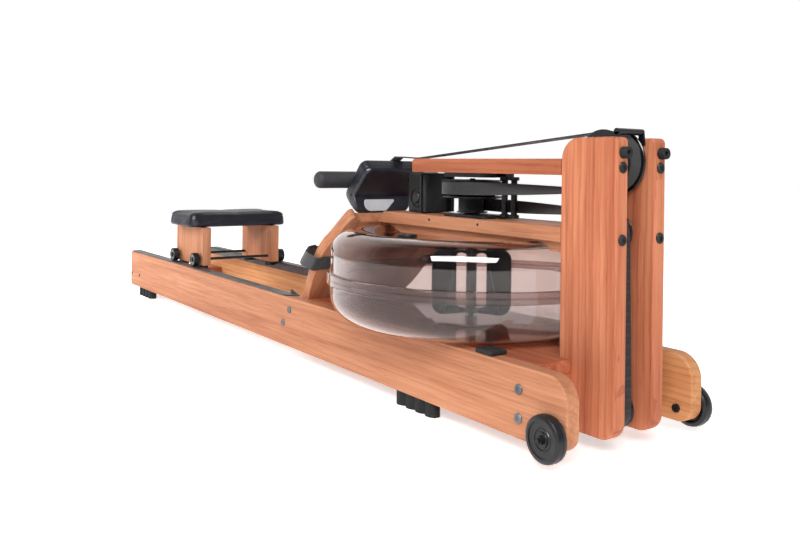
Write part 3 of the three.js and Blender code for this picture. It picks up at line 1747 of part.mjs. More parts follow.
// Glide knob under a block, which runs along the track's skirt
function knobGeometry(x, y) {
  const top = seatBlockBottom + knobSink;
  const edge = knobRadius / 4;
  return revolvedAboutZ(
    [
      [0, seatBlockBottom - knobHeight],
      [knobRadius - edge, seatBlockBottom - knobHeight],
      [knobRadius, seatBlockBottom - knobHeight + edge],
      [knobRadius, seatBlockBottom - edge],
      [knobRadius - edge, seatBlockBottom],
      [knobStemRadius, seatBlockBottom],
      [knobStemRadius, top],
      [0, top],
    ],
    smallRoundSteps,
    x,
    y,
  );
}

piece('seat_block_right', seatBlockGeometry(-1), railWood);
piece('seat_block_left', seatBlockGeometry(1), railWood);

// Pad: a crowned cushion with drawn-in sides and a shallow channel along the middle
function seatPadGeometry() {
  const bottom = seatBlockTop + seatGap;
  const superellipse = (turn, halfX, halfY) => {
    const grow = (value) => Math.sign(value) * Math.abs(value) ** (2 / padCornerPowerShare);
    return [halfX * grow(Math.cos(turn)), halfY * grow(Math.sin(turn))];
  };
  const channel = (y) => padChannelDepth * Math.exp(-((y / padChannelHalfWidth) ** 2));
  const rings = [];
  for (let i = 0; i <= padRings; i += 1) {
    const share = i / padRings;
    const belly = Math.sin(Math.PI * (padBellyStartShare + share * padBellySpanShare)) ** padBellyPowerShare;
    const inset = 2 * padDrawIn * (1 - belly);
    rings.push({ inset, height: bottom + padHeight * share, crown: 0 });
  }
  for (let i = 1; i < padTopRings; i += 1) {
    const share = i / padTopRings;
    rings.push({
      inset: rings[padRings].inset + (padLength / 2 - padDrawIn) * share ** padTopPowerShare,
      height: bottom + padHeight,
      crown: Math.sin(quarterTurn * Math.min(1, share * padTopRiseShare)),
    });
  }
  const coordinates = [];
  for (const { inset, height, crown } of rings) {
    for (let k = 0; k < padSides; k += 1) {
      const turn = (fullTurn * (k + 0.5)) / padSides;
      const [x, y] = superellipse(turn, padLength / 2 - inset, padHalfWidth - inset);
      coordinates.push(seatMiddleX + x, y, height + crown * (padCrown - channel(y)));
    }
  }
  const index = [];
  for (let i = 0; i + 1 < rings.length; i += 1) {
    for (let k = 0; k < padSides; k += 1) {
      const a = i * padSides + k;
      const b = i * padSides + ((k + 1) % padSides);
      index.push(a, b, b + padSides, a, b + padSides, a + padSides);
    }
  }
  const last = (rings.length - 1) * padSides;
  const closeStrip = (start, flip) => {
    for (let k = 0; k < padSides / 2 - 1; k += 1) {
      const [a, b, c, d] = [k, k + 1, padSides - 2 - k, padSides - 1 - k].map((i) => start + i);
      const quad = flip ? [a, c, b, a, d, c] : [a, b, c, a, c, d];
      index.push(...quad);
    }
  };
  closeStrip(0, true);
  closeStrip(last, false);
  const geometry = new THREE.BufferGeometry();
  geometry.setAttribute('position', new THREE.Float32BufferAttribute(coordinates, 3));
  geometry.setIndex(index);
  return closedShell(geometry);
}

piece('seat_pad', seatPadGeometry(), padSkin);

// Axles with a flat nut at each end
function seatAxleGeometry(x) {
  const end = seatWheelOuter - seatWheelRecess + seatGap;
  return fuse([
    rodAlongY(axleRadius, -end, end, x, axleHeight),
    rodAlongY(axleNutRadius, end - seatGap, end - seatGap + axleNutLength, x, axleHeight, nutSides),
    rodAlongY(axleNutRadius, seatGap - end - axleNutLength, seatGap - end, x, axleHeight, nutSides),
  ]);
}

piece('seat_axle_rear', seatAxleGeometry(axlePlaces[0]), steel);
piece('seat_axle_front', seatAxleGeometry(axlePlaces[1]), steel);

// Seat wheel with a recessed hub face
function seatWheelGeometry(x, side) {
  const bore = axleRadius + runningGap;
  const inner = seatWheelOuter - seatWheelWidth;
  const outer = seatWheelOuter;
  const edge = seatWheelEdge;
  const profile = [
    [bore, inner],
    [seatWheelRadius - edge, inner],
    [seatWheelRadius, inner + edge],
    [seatWheelRadius, outer - edge],
    [seatWheelRadius - edge, outer],
    [seatWheelHubRadius, outer],
    [seatWheelHubRadius, outer - seatWheelRecess],
    [bore, outer - seatWheelRecess],
  ];
  const outline = profile.map(([radius, along]) => new THREE.Vector2(radius, side * along));
  outline.push(outline[0].clone());
  return closedShell(new THREE.LatheGeometry(outline, roundSteps)).translate(x, 0, axleHeight);
}

for (const [end, x] of [['rear', axlePlaces[0]], ['front', axlePlaces[1]]]) {
  piece(`seat_wheel_${end}_right`, seatWheelGeometry(x, -1), blackRubber);
  piece(`seat_wheel_${end}_left`, seatWheelGeometry(x, 1), blackRubber);
}

// Transport wheels on bolts through the rails' front ends
function transportWheelGeometry(side) {
  const inner = railHalfSpan + transportGap;
  const outer = inner + transportWidth;
  const recess = transportRecess;
  const profile = [
    [transportBore, inner],
    [transportRadius - transportTreadRadius, inner],
    [transportRadius, inner + transportTreadRadius],
    [transportRadius, outer - transportTreadRadius],
    [transportRadius - transportTreadBulge, outer - transportTreadBulge],
    [transportRadius - transportTreadRadius, outer],
    [transportRingRadius, outer],
    [transportRingRadius - recess, outer - recess],
    [transportHubRadius + recess, outer - recess],
    [transportHubRadius, outer - transportHubRecess],
    [transportNutRadius + recess, outer - transportHubRecess],
    [transportNutRadius, outer - recess],
    [transportBore, outer - recess],
  ];
  const outline = profile.map(([radius, along]) => new THREE.Vector2(radius, side * along));
  outline.push(outline[0].clone());
  return closedShell(new THREE.LatheGeometry(outline, wheelSteps)).translate(transportX, 0, transportHeight);
}

piece('transport_wheel_right', transportWheelGeometry(-1), blackRubber);
piece('transport_wheel_left', transportWheelGeometry(1), blackRubber);

// Axle bolt: socket head inside the rail, spacer washer, and a nut with the bolt's tip outside the wheel
function transportAxleGeometry(side) {
  const headSeat = railInner - seatGap;
  const wheelInner = railHalfSpan + transportGap;
  const nutSeat = wheelInner + transportWidth - transportRecess + seatGap;
  const nutEnd = nutSeat + transportNutDepth;
  const bar = (radius, from, to, steps) => {
    const [low, high] = sorted(side * from, side * to);
    return rodAlongY(radius, low, high, transportX, transportHeight, steps);
  };
  const body = fuse([
    bar(transportAxleRadius, headSeat - seatGap, nutEnd + transportTipLength),
    bar(transportHeadRadius, headSeat - transportHeadDepth, headSeat),
    bar(transportNutRadius, railHalfSpan + seatGap, wheelInner - seatGap),
    bar(transportNutRadius, nutSeat, nutEnd, nutSides),
  ]);
  const socketStart = headSeat - transportHeadDepth - cutOverrun;
  return cut(body, [bar(socketRadius, socketStart, headSeat - socketDepth, socketSides)]);
}

piece('transport_axle_right', transportAxleGeometry(-1), blackMetal);
piece('transport_axle_left', transportAxleGeometry(1), blackMetal);

export default machine;
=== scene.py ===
"""Looks of the water rowing machine, built round its CAD frame.

Lengths in the classes are millimetres in the machine's own frame: X from the
rear end of the rails to the pulley end, +Y the rower's left, +Z up. Bench
brings every piece into metres in the row frame before it is dressed.
"""

import json
import logging
import math
from dataclasses import dataclass
from enum import Enum
from typing import Callable, Sequence

import bmesh
import bpy
from mathutils import Matrix, Vector

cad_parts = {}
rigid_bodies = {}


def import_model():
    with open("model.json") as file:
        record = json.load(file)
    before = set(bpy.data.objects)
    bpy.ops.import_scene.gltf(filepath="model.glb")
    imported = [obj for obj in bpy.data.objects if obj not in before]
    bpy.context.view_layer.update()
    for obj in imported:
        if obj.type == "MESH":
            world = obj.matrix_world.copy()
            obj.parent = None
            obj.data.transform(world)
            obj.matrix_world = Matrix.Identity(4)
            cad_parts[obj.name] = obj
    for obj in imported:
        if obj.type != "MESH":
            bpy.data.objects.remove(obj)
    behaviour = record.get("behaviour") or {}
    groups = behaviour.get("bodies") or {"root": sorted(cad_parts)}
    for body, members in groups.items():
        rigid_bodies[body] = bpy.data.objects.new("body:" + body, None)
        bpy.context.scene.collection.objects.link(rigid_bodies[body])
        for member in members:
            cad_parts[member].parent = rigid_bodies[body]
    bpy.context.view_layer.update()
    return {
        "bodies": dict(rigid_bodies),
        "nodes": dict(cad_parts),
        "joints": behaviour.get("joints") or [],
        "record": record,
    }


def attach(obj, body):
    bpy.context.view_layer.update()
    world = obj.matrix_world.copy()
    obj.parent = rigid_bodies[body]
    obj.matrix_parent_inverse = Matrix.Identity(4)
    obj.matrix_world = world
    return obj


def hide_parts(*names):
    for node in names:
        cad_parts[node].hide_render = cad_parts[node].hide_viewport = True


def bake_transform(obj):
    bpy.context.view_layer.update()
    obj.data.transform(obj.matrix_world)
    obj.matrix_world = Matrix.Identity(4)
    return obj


LOG = logging.getLogger("rowing_machine")

MM = 0.001
HALF_LENGTH = 1056.5
MACHINE = Matrix.Scale(MM, 4) @ Matrix.Translation((-HALF_LENGTH, 0, 0))
BOARD_ANGLE = math.radians(47.6)
RAIL_TOP = 142.3
BOARD_ORIGIN = (1219.0, 0.0, RAIL_TOP)
PICTURE = (800, 533)
SENSOR = 36
WHITE = (1, 1, 1, 1)
SHARP_EDGE = math.radians(38)
SIDES = ((-1, "right"), (1, "left"))
RAIL_GAP = 133.7
HANDLE = (1350, 422)
HANDLE_CORE = 11
STRAP_WIDTH = 25
STRAP_THICKNESS = 2.5
STRAP_SEAT = 1.55

Piece = bpy.types.Object
Socket = bpy.types.NodeSocket
Material = bpy.types.Material
Point = tuple[float, float]
Triple = tuple[float, float, float]
Tint = tuple[int, int, int]
Station = tuple[Vector, Vector]


class Way(Enum):
    """How a flat outline or a turned profile lies in the machine."""

    SIDE = "outline in X and Z, depth along Y"
    FLAT = "outline in X and Y, depth along Z"
    FRONT = "outline in Y and Z, depth along X"
    BOARD = "outline on the footboard, depth off its face"
    HOOK = "outline up the footboard and off its face, depth across it"


class Slot(Enum):
    """The record's material slots."""

    RAIL_WOOD = "rail_wood"
    UPRIGHT_WOOD = "upright_wood"
    INNER_WOOD = "inner_wood"
    RUBBER = "black_rubber"
    TANK = "smoked_tank"
    PLASTIC = "black_plastic"
    MONITOR = "monitor_plastic"
    SCREEN = "screen_glass"
    STEEL = "black_steel"
    WEBBING = "strap_webbing"
    FOAM = "grip_foam"
    PAD = "pad_cover"
    AXLE = "axle_steel"
    TREAD = "wheel_tread"


def board_matrix() -> Matrix:
    """The frame of the footboard: x to the rower's right, y up the board, z off its face."""
    c, s = math.cos(BOARD_ANGLE), math.sin(BOARD_ANGLE)
    turn = Matrix(((0, c, -s, 0), (-1, 0, 0, 0), (0, s, c, 0), (0, 0, 0, 1)))
    return MACHINE @ Matrix.Translation(BOARD_ORIGIN) @ turn


UPRIGHT = Matrix(((1, 0, 0, 0), (0, 0, 1, 0), (0, 1, 0, 0), (0, 0, 0, 1)))
CROSSWISE = Matrix(((0, 0, 1, 0), (1, 0, 0, 0), (0, 1, 0, 0), (0, 0, 0, 1)))
WAYS = {
    Way.SIDE: MACHINE @ UPRIGHT, Way.FLAT: MACHINE.copy(), Way.FRONT: MACHINE @ CROSSWISE,
    Way.BOARD: board_matrix(), Way.HOOK: board_matrix() @ CROSSWISE
}


def rounded(corners: Sequence[Triple], steps: int = 8) -> list[Point]:
    """An outline with round corners.

    Args:
        corners: Corner places and radii, in order.
        steps: Steps of each round corner.

    Returns:
        The outline's points.
    """
    points: list[Point] = []
    count = len(corners)
    for i, (x, y, radius) in enumerate(corners):
        here = Vector((x, y))
        before = (Vector(corners[i - 1][:2]) - here).normalized()
        after = (Vector(corners[(i + 1) % count][:2]) - here).normalized()
        if radius <= 0:
            points.append((x, y))
            continue
        half = before.angle(after) / 2
        reach = radius / math.tan(half)
        middle = here + (before + after).normalized() * (radius / math.sin(half))
        first = here + before * reach - middle
        last = here + after * reach - middle
        sweep = first.angle_signed(last)
        for k in range(steps + 1):
            spoke = first.copy()
            spoke.rotate(Matrix.Rotation(-sweep * k / steps, 2))
            points.append(tuple(middle + spoke))
    return points


def box_outline(x0: float, x1: float, y0: float, y1: float, *radii: float, steps: int = 8) -> list[Point]:
    """A rectangle's outline.

    Args:
        x0: Its low side.
        x1: Its high side.
        y0: Its bottom.
        y1: Its top.
        radii: None, one for every corner, or one for each, from the low bottom corner on.
        steps: Steps of each round corner.

    Returns:
        The outline's points.
    """
    places = ((x0, y0), (x1, y0), (x1, y1), (x0, y1))
    return rounded([(*place, radius) for place, radius in zip(places, (radii or (0,)) * 4)], steps)


def mirrored(points: Sequence[Point]) -> list[Point]:
    """The points in reverse order, with their second number turned round."""
    return [(x, -y) for x, y in reversed(points)]


def between(side: int, inner: float, outer: float) -> list[float]:
    """Where a piece starts and ends across the machine, on one of its sides."""
    return sorted((side * inner, side * outer))


class Bench:
    """The moves that the pieces are modelled with."""

    @staticmethod
    def clear() -> None:
        """Leaves edit mode and deselects everything."""
        active = bpy.context.view_layer.objects.active
        if active is not None and active.mode != "OBJECT":
            bpy.ops.object.mode_set(mode="OBJECT")
        bpy.ops.object.select_all(action="DESELECT")

    @staticmethod
    def take(piece: Piece) -> None:
        """Makes a piece the only selected and active one."""
        Bench.clear()
        piece.select_set(True)
        bpy.context.view_layer.objects.active = piece

    @staticmethod
    def pick_edges(test: Callable[[Vector, Vector], bool]) -> None:
        """Selects the edges of the mesh in edit mode that pass a test.

        Args:
            test: Takes an edge's middle and its direction.
        """
        bpy.ops.mesh.select_mode(type="EDGE")
        bpy.ops.mesh.select_all(action="DESELECT")
        data = bpy.context.active_object.data
        shape = bmesh.from_edit_mesh(data)
        for edge in shape.edges:
            first, last = (vertex.co for vertex in edge.verts)
            if test((first + last) / 2, (last - first).normalized()):
                edge.select_set(True)
        shape.select_flush_mode()
        bmesh.update_edit_mesh(data)

    @staticmethod
    def modify(piece: Piece, name: str, kind: str, **settings: object) -> None:
        """Adds a modifier to the active piece, sets it up and applies it.

        Args:
            piece: The active piece.
            name: The modifier's name.
            kind: Its type.
            settings: Its properties.
        """
        modifier = piece.modifiers.new(name, kind)
        for key, value in settings.items():
            setattr(modifier, key, value)
        bpy.ops.object.modifier_apply(modifier=modifier.name)

    @staticmethod
    def ring(name: str, points: Sequence[Point], filled: bool) -> Piece:
        """A circle primitive whose rim is moved onto an outline.

        Args:
            name: The piece's name.
            points: The outline.
            filled: Whether the ring has a face.

        Returns:
            The piece, active and in object mode.
        """
        Bench.clear()
        fill = "NGON" if filled else "NOTHING"
        bpy.ops.mesh.primitive_circle_add(vertices=len(points), radius=1, fill_type=fill, location=(0, 0, 0))
        piece = bpy.context.active_object
        piece.name = piece.data.name = name
        for vertex, (x, y) in zip(piece.data.vertices, points):
            vertex.co = (x, y, 0)
        return piece

    @staticmethod
    def plank(
        name: str, points: Sequence[Point], way: Way | Matrix, low: float, high: float, arris: float = 0,
        segments: int = 3, rims: Sequence[tuple[float, float, int]] = ()
    ) -> Piece:
        """A flat piece: an outline extruded, its edges softened.

        Args:
            name: The piece's name.
            points: The outline.
            way: How it lies, or the frame that it lies in.
            low: Where its depth starts.
            high: Where its depth ends.
            arris: Radius of its soft edges.
            segments: Steps of the soft edges.
            rims: Depth, radius and steps of each rim that is rounded by itself.

        Returns:
            The piece, in metres.
        """
        piece = Bench.ring(name, points, True)
        for vertex in piece.data.vertices:
            vertex.co.z = low
        bpy.ops.object.mode_set(mode="EDIT")
        bpy.ops.mesh.select_all(action="SELECT")
        bpy.ops.mesh.extrude_region_move(TRANSFORM_OT_translate={"value": (0, 0, high - low)})
        bpy.ops.mesh.select_all(action="SELECT")
        bpy.ops.mesh.normals_make_consistent(inside=False)
        for depth, radius, steps in rims:
            Bench.pick_edges(lambda place, run, at=depth: abs(place.z - at) < 0.01 and abs(run.z) < 0.01)
            bpy.ops.mesh.bevel(offset=radius, segments=steps, affect="EDGES", clamp_overlap=True)
        bpy.ops.object.mode_set(mode="OBJECT")
        if arris > 0:
            Bench.soften(piece, arris, segments)
        return Bench.settle(piece, way if isinstance(way, Matrix) else WAYS[way])

    @staticmethod
    def carve(piece: Piece, tools: Sequence[Piece]) -> Piece:
        """Cuts tools out of a piece, and removes them."""
        for tool in tools:
            Bench.take(piece)
            Bench.modify(piece, "hole", "BOOLEAN", operation="DIFFERENCE", solver="EXACT", object=tool)
            bpy.data.objects.remove(tool)
        return Bench.smooth(piece)

    @staticmethod
    def turned(
        name: str, profile: Sequence[Point], matrix: Matrix, steps: int = 64, closed: bool = False, arris: float = 0
    ) -> Piece:
        """A turned piece: a profile of radius and height spun about its axis.

        Args:
            name: The piece's name.
            profile: Radius and height of each point.
            matrix: Where the axis stands.
            steps: Steps round it.
            closed: Whether the profile closes on itself off the axis.
            arris: Radius of its soft edges.

        Returns:
            The piece, in metres.
        """
        piece = Bench.ring(name, profile, False)
        for vertex, (radius, height) in zip(piece.data.vertices, profile):
            vertex.co = (radius, 0, height)
        bpy.ops.object.mode_set(mode="EDIT")
        if not closed:
            middle = (Vector((profile[0][0], 0, profile[0][1])) + Vector((profile[-1][0], 0, profile[-1][1]))) / 2
            Bench.pick_edges(lambda place, _: (place - middle).length < 1e-4)
            bpy.ops.mesh.delete(type="EDGE")
        bpy.ops.mesh.select_mode(type="VERT")
        bpy.ops.mesh.select_all(action="SELECT")
        bpy.ops.mesh.spin(steps=steps, angle=math.tau, center=(0, 0, 0), axis=(0, 0, 1))
        bpy.ops.mesh.select_all(action="SELECT")
        bpy.ops.mesh.remove_doubles(threshold=1e-3)
        bpy.ops.mesh.normals_make_consistent(inside=False)
        bpy.ops.object.mode_set(mode="OBJECT")
        if arris > 0:
            Bench.soften(piece, arris, 2)
        return Bench.settle(piece, matrix)

    @staticmethod
    def soften(piece: Piece, width: float, segments: int) -> None:
        """Rounds a piece's sharp edges."""
        Bench.take(piece)
        Bench.modify(
            piece, "soft edges", "BEVEL", width=width, segments=segments, limit_method="ANGLE",
            angle_limit=SHARP_EDGE, use_clamp_overlap=True
        )

    @staticmethod
    def settle(piece: Piece, matrix: Matrix) -> Piece:
        """Puts a piece's place in its mesh, faces outwards, and smooths its shading."""
        piece.data.transform(matrix)
        Bench.take(piece)
        bpy.ops.object.mode_set(mode="EDIT")
        bpy.ops.mesh.select_all(action="SELECT")
        bpy.ops.mesh.normals_make_consistent(inside=False)
        bpy.ops.object.mode_set(mode="OBJECT")
        return Bench.smooth(piece)

    @staticmethod
    def smooth(piece: Piece, limit: float = 34) -> Piece:
        """Smooth shading with flat faces kept flat."""
        Bench.take(piece)
        bpy.ops.object.shade_smooth_by_angle(angle=math.radians(limit))
        Bench.modify(piece, "flat faces", "WEIGHTED_NORMAL", keep_sharp=True)
        return piece

    @staticmethod
    def join(name: str, pieces: Sequence[Piece]) -> Piece:
        """Joins pieces into one object."""
        Bench.clear()
        for piece in pieces:
            piece.select_set(True)
        bpy.context.view_layer.objects.active = pieces[0]
        bpy.ops.object.join()
        joined = bpy.context.active_object
        joined.name = joined.data.name = name
        return joined

    @staticmethod
    def ribbon(
        name: str, stations: Sequence[Station], width: float, thickness: float, matrix: Matrix, strips: int = 6
    ) -> Piece:
        """A strap: a grid laid on a route, then thickened.

        Args:
            name: The piece's name.
            stations: Places on the route, and the direction across it there.
            width: The strap's width.
            thickness: Its thickness.
            matrix: The frame of the route.
            strips: Faces across it.

        Returns:
            The piece, in metres.
        """
        Bench.clear()
        last = len(stations) - 1
        bpy.ops.mesh.primitive_grid_add(
            x_subdivisions=strips, y_subdivisions=last, size=1, calc_uvs=True, location=(0, 0, 0)
        )
        piece = bpy.context.active_object
        piece.name = piece.data.name = name
        for vertex in piece.data.vertices:
            place, across = stations[min(last, max(0, round((vertex.co.y + 0.5) * last)))]
            vertex.co = place + across * (width * vertex.co.x)
        Bench.modify(piece, "thickness", "SOLIDIFY", thickness=thickness, offset=0)
        piece.data.transform(matrix)
        return Bench.smooth(piece, 50)

    @staticmethod
    def rod(name: str, points: Sequence[Sequence[float]], radius: float, matrix: Matrix) -> Piece:
        """A round rod along a route.

        Args:
            name: The piece's name.
            points: The route's points.
            radius: The rod's radius.
            matrix: The frame of the route.

        Returns:
            The piece, in metres.
        """
        Bench.clear()
        curve = bpy.data.curves.new(name, "CURVE")
        curve.dimensions = "3D"
        curve.bevel_depth = radius
        curve.bevel_resolution = 4
        curve.use_fill_caps = True
        spline = curve.splines.new("POLY")
        spline.points.add(len(points) - 1)
        for point, place in zip(spline.points, points):
            point.co = (*place, 1)
        piece = bpy.data.objects.new(name, curve)
        bpy.context.scene.collection.objects.link(piece)
        Bench.take(piece)
        bpy.ops.object.convert(target="MESH")
        piece = bpy.context.active_object
        piece.name = name
        return Bench.settle(piece, matrix)


def upright_axis(x: float, y: float) -> Matrix:
    """A vertical axis at a place."""
    return MACHINE @ Matrix.Translation((x, y, 0))


def cross_axis(x: float, z: float, side: int = 1) -> Matrix:
    """An axis across the machine, with its height counted outwards on the given side."""
    turn = Matrix.Rotation(-math.pi / 2 * side, 4, "X")
    return MACHINE @ Matrix.Translation((x, 0, z)) @ turn


def lengthwise_axis(y: float, z: float) -> Matrix:
    """An axis along the machine."""
    return MACHINE @ Matrix.Translation((0, y, z)) @ Matrix.Rotation(math.pi / 2, 4, "Y")


def board_axis(x: float, along: float) -> Matrix:
    """An axis that stands off the footboard's face."""
    return WAYS[Way.BOARD] @ Matrix.Translation((x, along, 0))


def paint(red: int, green: int, blue: int) -> tuple[float, float, float, float]:
    """A linear colour from the eight-bit one that the eye sees."""

    def channel(value: int) -> float:
        """One channel, made linear."""
        share = value / 255
        return share / 12.92 if share <= 0.04045 else ((share + 0.055) / 1.055) ** 2.4

    return (channel(red), channel(green), channel(blue), 1.0)


class Nodes:
    """A material's node tree, with short calls for the nodes that the finishes need."""

    def __init__(self, name: str) -> None:
        """Starts a material with its own shader.

        Args:
            name: The material's name.
        """
        self.material = bpy.data.materials.new(name)
        self.material.use_nodes = True
        self.tree = self.material.node_tree
        self.shader = self.tree.nodes["Principled BSDF"]
        self.bumped = None

    @staticmethod
    def feed(node: bpy.types.Node, **values: object) -> None:
        """Sets sockets of a node, named with underscores for spaces."""
        for key, value in values.items():
            node.inputs[key.replace("_", " ")].default_value = value

    def set(self, **values: object) -> None:
        """Sets the shader's own sockets."""
        self.feed(self.shader, **values)

    def into(self, socket: str, source: Socket) -> None:
        """Joins a socket to one of the shader's own."""
        self.join(source, self.shader.inputs[socket])

    def shade(self, factor: Socket, *stops: tuple[float, Tint]) -> None:
        """Colours the shader by a factor.

        Args:
            factor: What the colours follow.
            stops: Where each eight-bit colour stands.
        """
        self.into("Base Color", self.ramp(factor, [(place, paint(*tint)) for place, tint in stops]))

    def add(self, kind: str, **settings: object) -> bpy.types.Node:
        """Adds a node.

        Args:
            kind: The node's type.
            settings: Its properties.

        Returns:
            The node.
        """
        node = self.tree.nodes.new(kind)
        for key, value in settings.items():
            setattr(node, key, value)
        return node

    def join(self, source: Socket, target: Socket) -> None:
        """Links two sockets."""
        self.tree.links.new(source, target)

    def place(
        self, scale: Triple = (1, 1, 1), turn: Triple = (0, 0, 0), shift: Triple = (0, 0, 0), uv: bool = False
    ) -> Socket:
        """Object or UV coordinates through a mapping.

        Args:
            scale: Stretch of the pattern.
            turn: Its turn, in radians.
            shift: Its shift.
            uv: Whether it follows the piece's own UV map.

        Returns:
            The vector socket.
        """
        source = self.add("ShaderNodeTexCoord")
        turned = self.add("ShaderNodeMapping")
        self.join(source.outputs["UV" if uv else "Object"], turned.inputs["Vector"])
        self.feed(turned, Rotation=turn, Location=shift)
        stretched = self.add("ShaderNodeMapping")
        self.join(turned.outputs["Vector"], stretched.inputs["Vector"])
        self.feed(stretched, Scale=scale)
        return stretched.outputs["Vector"]

    def noise(
        self, vector: Socket, scale: float, detail: float = 4, rough: float = 0.55, warp: float = 0
    ) -> Socket:
        """Noise at a scale, as a factor."""
        node = self.add("ShaderNodeTexNoise")
        self.join(vector, node.inputs["Vector"])
        self.feed(node, Scale=scale, Detail=detail, Roughness=rough, Distortion=warp)
        return node.outputs["Fac"]

    def cells(self, vector: Socket, scale: float, feature: str = "F1") -> Socket:
        """Small cells at a scale, as the distance from their middles."""
        node = self.add("ShaderNodeTexVoronoi", feature=feature)
        self.join(vector, node.inputs["Vector"])
        self.feed(node, Scale=scale)
        return node.outputs["Distance"]

    def math(self, operation: str, first: object, second: object = 0.5) -> Socket:
        """A sum on sockets or numbers."""
        node = self.add("ShaderNodeMath", operation=operation)
        for i, value in enumerate((first, second)):
            if isinstance(value, Socket):
                self.join(value, node.inputs[i])
            else:
                node.inputs[i].default_value = value
        return node.outputs[0]

    def ramp(self, factor: Socket, stops: Sequence[tuple[float, Sequence[float]]]) -> Socket:
        """A colour ramp on a factor."""
        node = self.add("ShaderNodeValToRGB")
        self.join(factor, node.inputs["Fac"])
        elements = node.color_ramp.elements
        while len(elements) < len(stops):
            elements.new(0.5)
        for element, (place, colour) in zip(elements, stops):
            element.position = place
            element.color = colour
        return node.outputs["Color"]

    def mix(self, share: object, first: object, second: object, blend: str = "MIX") -> Socket:
        """A mix of two colours."""
        node = self.add("ShaderNodeMix", data_type="RGBA", blend_type=blend)
        for key, value, kind in (("Factor", share, "VALUE"), ("A", first, "RGBA"), ("B", second, "RGBA")):
            socket = next(s for s in node.inputs if s.name == key and s.type == kind)
            if isinstance(value, Socket):
                self.join(value, socket)
            else:
                socket.default_value = value
        return next(s for s in node.outputs if s.type == "RGBA")

    def span(self, factor: Socket, low: float, high: float) -> Socket:
        """A factor spread over a range."""
        node = self.add("ShaderNodeMapRange")
        self.join(factor, node.inputs["Value"])
        self.feed(node, To_Min=low, To_Max=high)
        return node.outputs["Result"]

    def bump(self, height: Socket, strength: float, distance: float) -> None:
        """Adds relief to the shader, on top of what it has."""
        node = self.add("ShaderNodeBump")
        self.feed(node, Strength=strength, Distance=distance)
        self.join(height, node.inputs["Height"])
        if self.bumped is not None:
            self.join(self.bumped, node.inputs["Normal"])
        self.bumped = node.outputs["Normal"]
        self.into("Normal", self.bumped)


@dataclass(frozen=True)
class WoodFinish:
    """Oiled cherry: growth rings, fine fibres and small gum flecks along one axis."""

    name: str
    light: Tint
    middle: Tint
    dark: Tint
    turn: Triple = (0, 0, 0)
    shift: Triple = (0, 0, 0)
    ring_scale: float = 26
    figure: float = 1.0

    def material(self) -> Material:
        """The finish as a node material, with its grain along X after the turn."""
        nodes = Nodes(self.name)

        def grain(scale: Triple, detail: float, rough: float) -> Socket:
            """Noise stretched along the grain."""
            return nodes.noise(nodes.place(scale, self.turn, self.shift), 1.0, detail, rough)

        def toned(share: float, base: Socket, shade: Socket) -> Socket:
            """A colour darkened by another."""
            return nodes.mix(share, base, shade, "MULTIPLY")

        slow = nodes.place((0.55, 1, 1), self.turn, self.shift)
        sway = nodes.noise(slow, 2.6, 3, 0.5)
        ringed = nodes.add("ShaderNodeVectorMath", operation="ADD")
        nodes.join(slow, ringed.inputs[0])
        lift = nodes.add("ShaderNodeCombineXYZ")
        nodes.join(nodes.span(sway, -0.05, 0.05), lift.inputs["Y"])
        nodes.join(nodes.span(sway, 0.02, -0.02), lift.inputs["Z"])
        nodes.join(lift.outputs[0], ringed.inputs[1])
        rings = nodes.add("ShaderNodeTexWave", wave_type="RINGS", rings_direction="X", wave_profile="SAW")
        nodes.join(ringed.outputs[0], rings.inputs["Vector"])
        nodes.feed(rings, Scale=self.ring_scale, Distortion=1.6, Detail=3, Detail_Scale=1.4)
        fibres, streaks = grain((9, 260, 260), 5, 0.6), grain((2.2, 46, 46), 4, 0.6)
        patches, fleck = grain((1.5, 6, 6), 2, 0.5), grain((30, 420, 420), 2, 0.5)
        stops = ((0.28, self.dark), (0.5, self.middle), (0.74, self.light))
        base = nodes.ramp(streaks, [(place, paint(*tint)) for place, tint in stops])
        line = nodes.ramp(rings.outputs["Fac"], [(0.0, WHITE), (0.6, WHITE), (0.97, (0.74, 0.64, 0.58, 1))])
        fine = nodes.ramp(fibres, [(0.34, (0.78, 0.70, 0.66, 1)), (0.56, WHITE)])
        broad = nodes.ramp(patches, [(0.3, (0.86, 0.80, 0.77, 1)), (0.7, WHITE)])
        flecks = nodes.ramp(fleck, [(0.24, (0.55, 0.42, 0.36, 1)), (0.31, WHITE)])
        fibred = toned(0.6, toned(0.5 * self.figure, base, line), fine)
        nodes.into("Base Color", toned(0.5, toned(0.7, fibred, broad), flecks))
        nodes.into("Roughness", nodes.span(fibres, 0.66, 0.5))
        nodes.bump(fibres, 0.12, 0.0004)
        nodes.set(Specular_IOR_Level=0.14, Coat_Weight=0.02, Coat_Roughness=0.3)
        return nodes.material


@dataclass(frozen=True)
class MouldedFinish:
    """Moulded or painted parts: a colour with cloudy wear and a fine grain in its surface."""

    name: str
    colour: Tint
    worn: Tint
    rough: Point = (0.32, 0.46)
    grain: float = 2600
    relief: float = 0.1
    metal: float = 0
    specular: float = 0.5

    def material(self) -> Material:
        """The finish as a node material."""
        nodes = Nodes(self.name)
        spot = nodes.place()
        nodes.shade(nodes.noise(spot, 26, 5, 0.6), (0.35, self.colour), (0.72, self.worn))
        nodes.into("Roughness", nodes.span(nodes.noise(spot, 90, 3), *self.rough))
        nodes.bump(nodes.noise(spot, self.grain, 2, 0.5), self.relief, 0.0003)
        nodes.set(Metallic=self.metal, Specular_IOR_Level=self.specular)
        return nodes.material


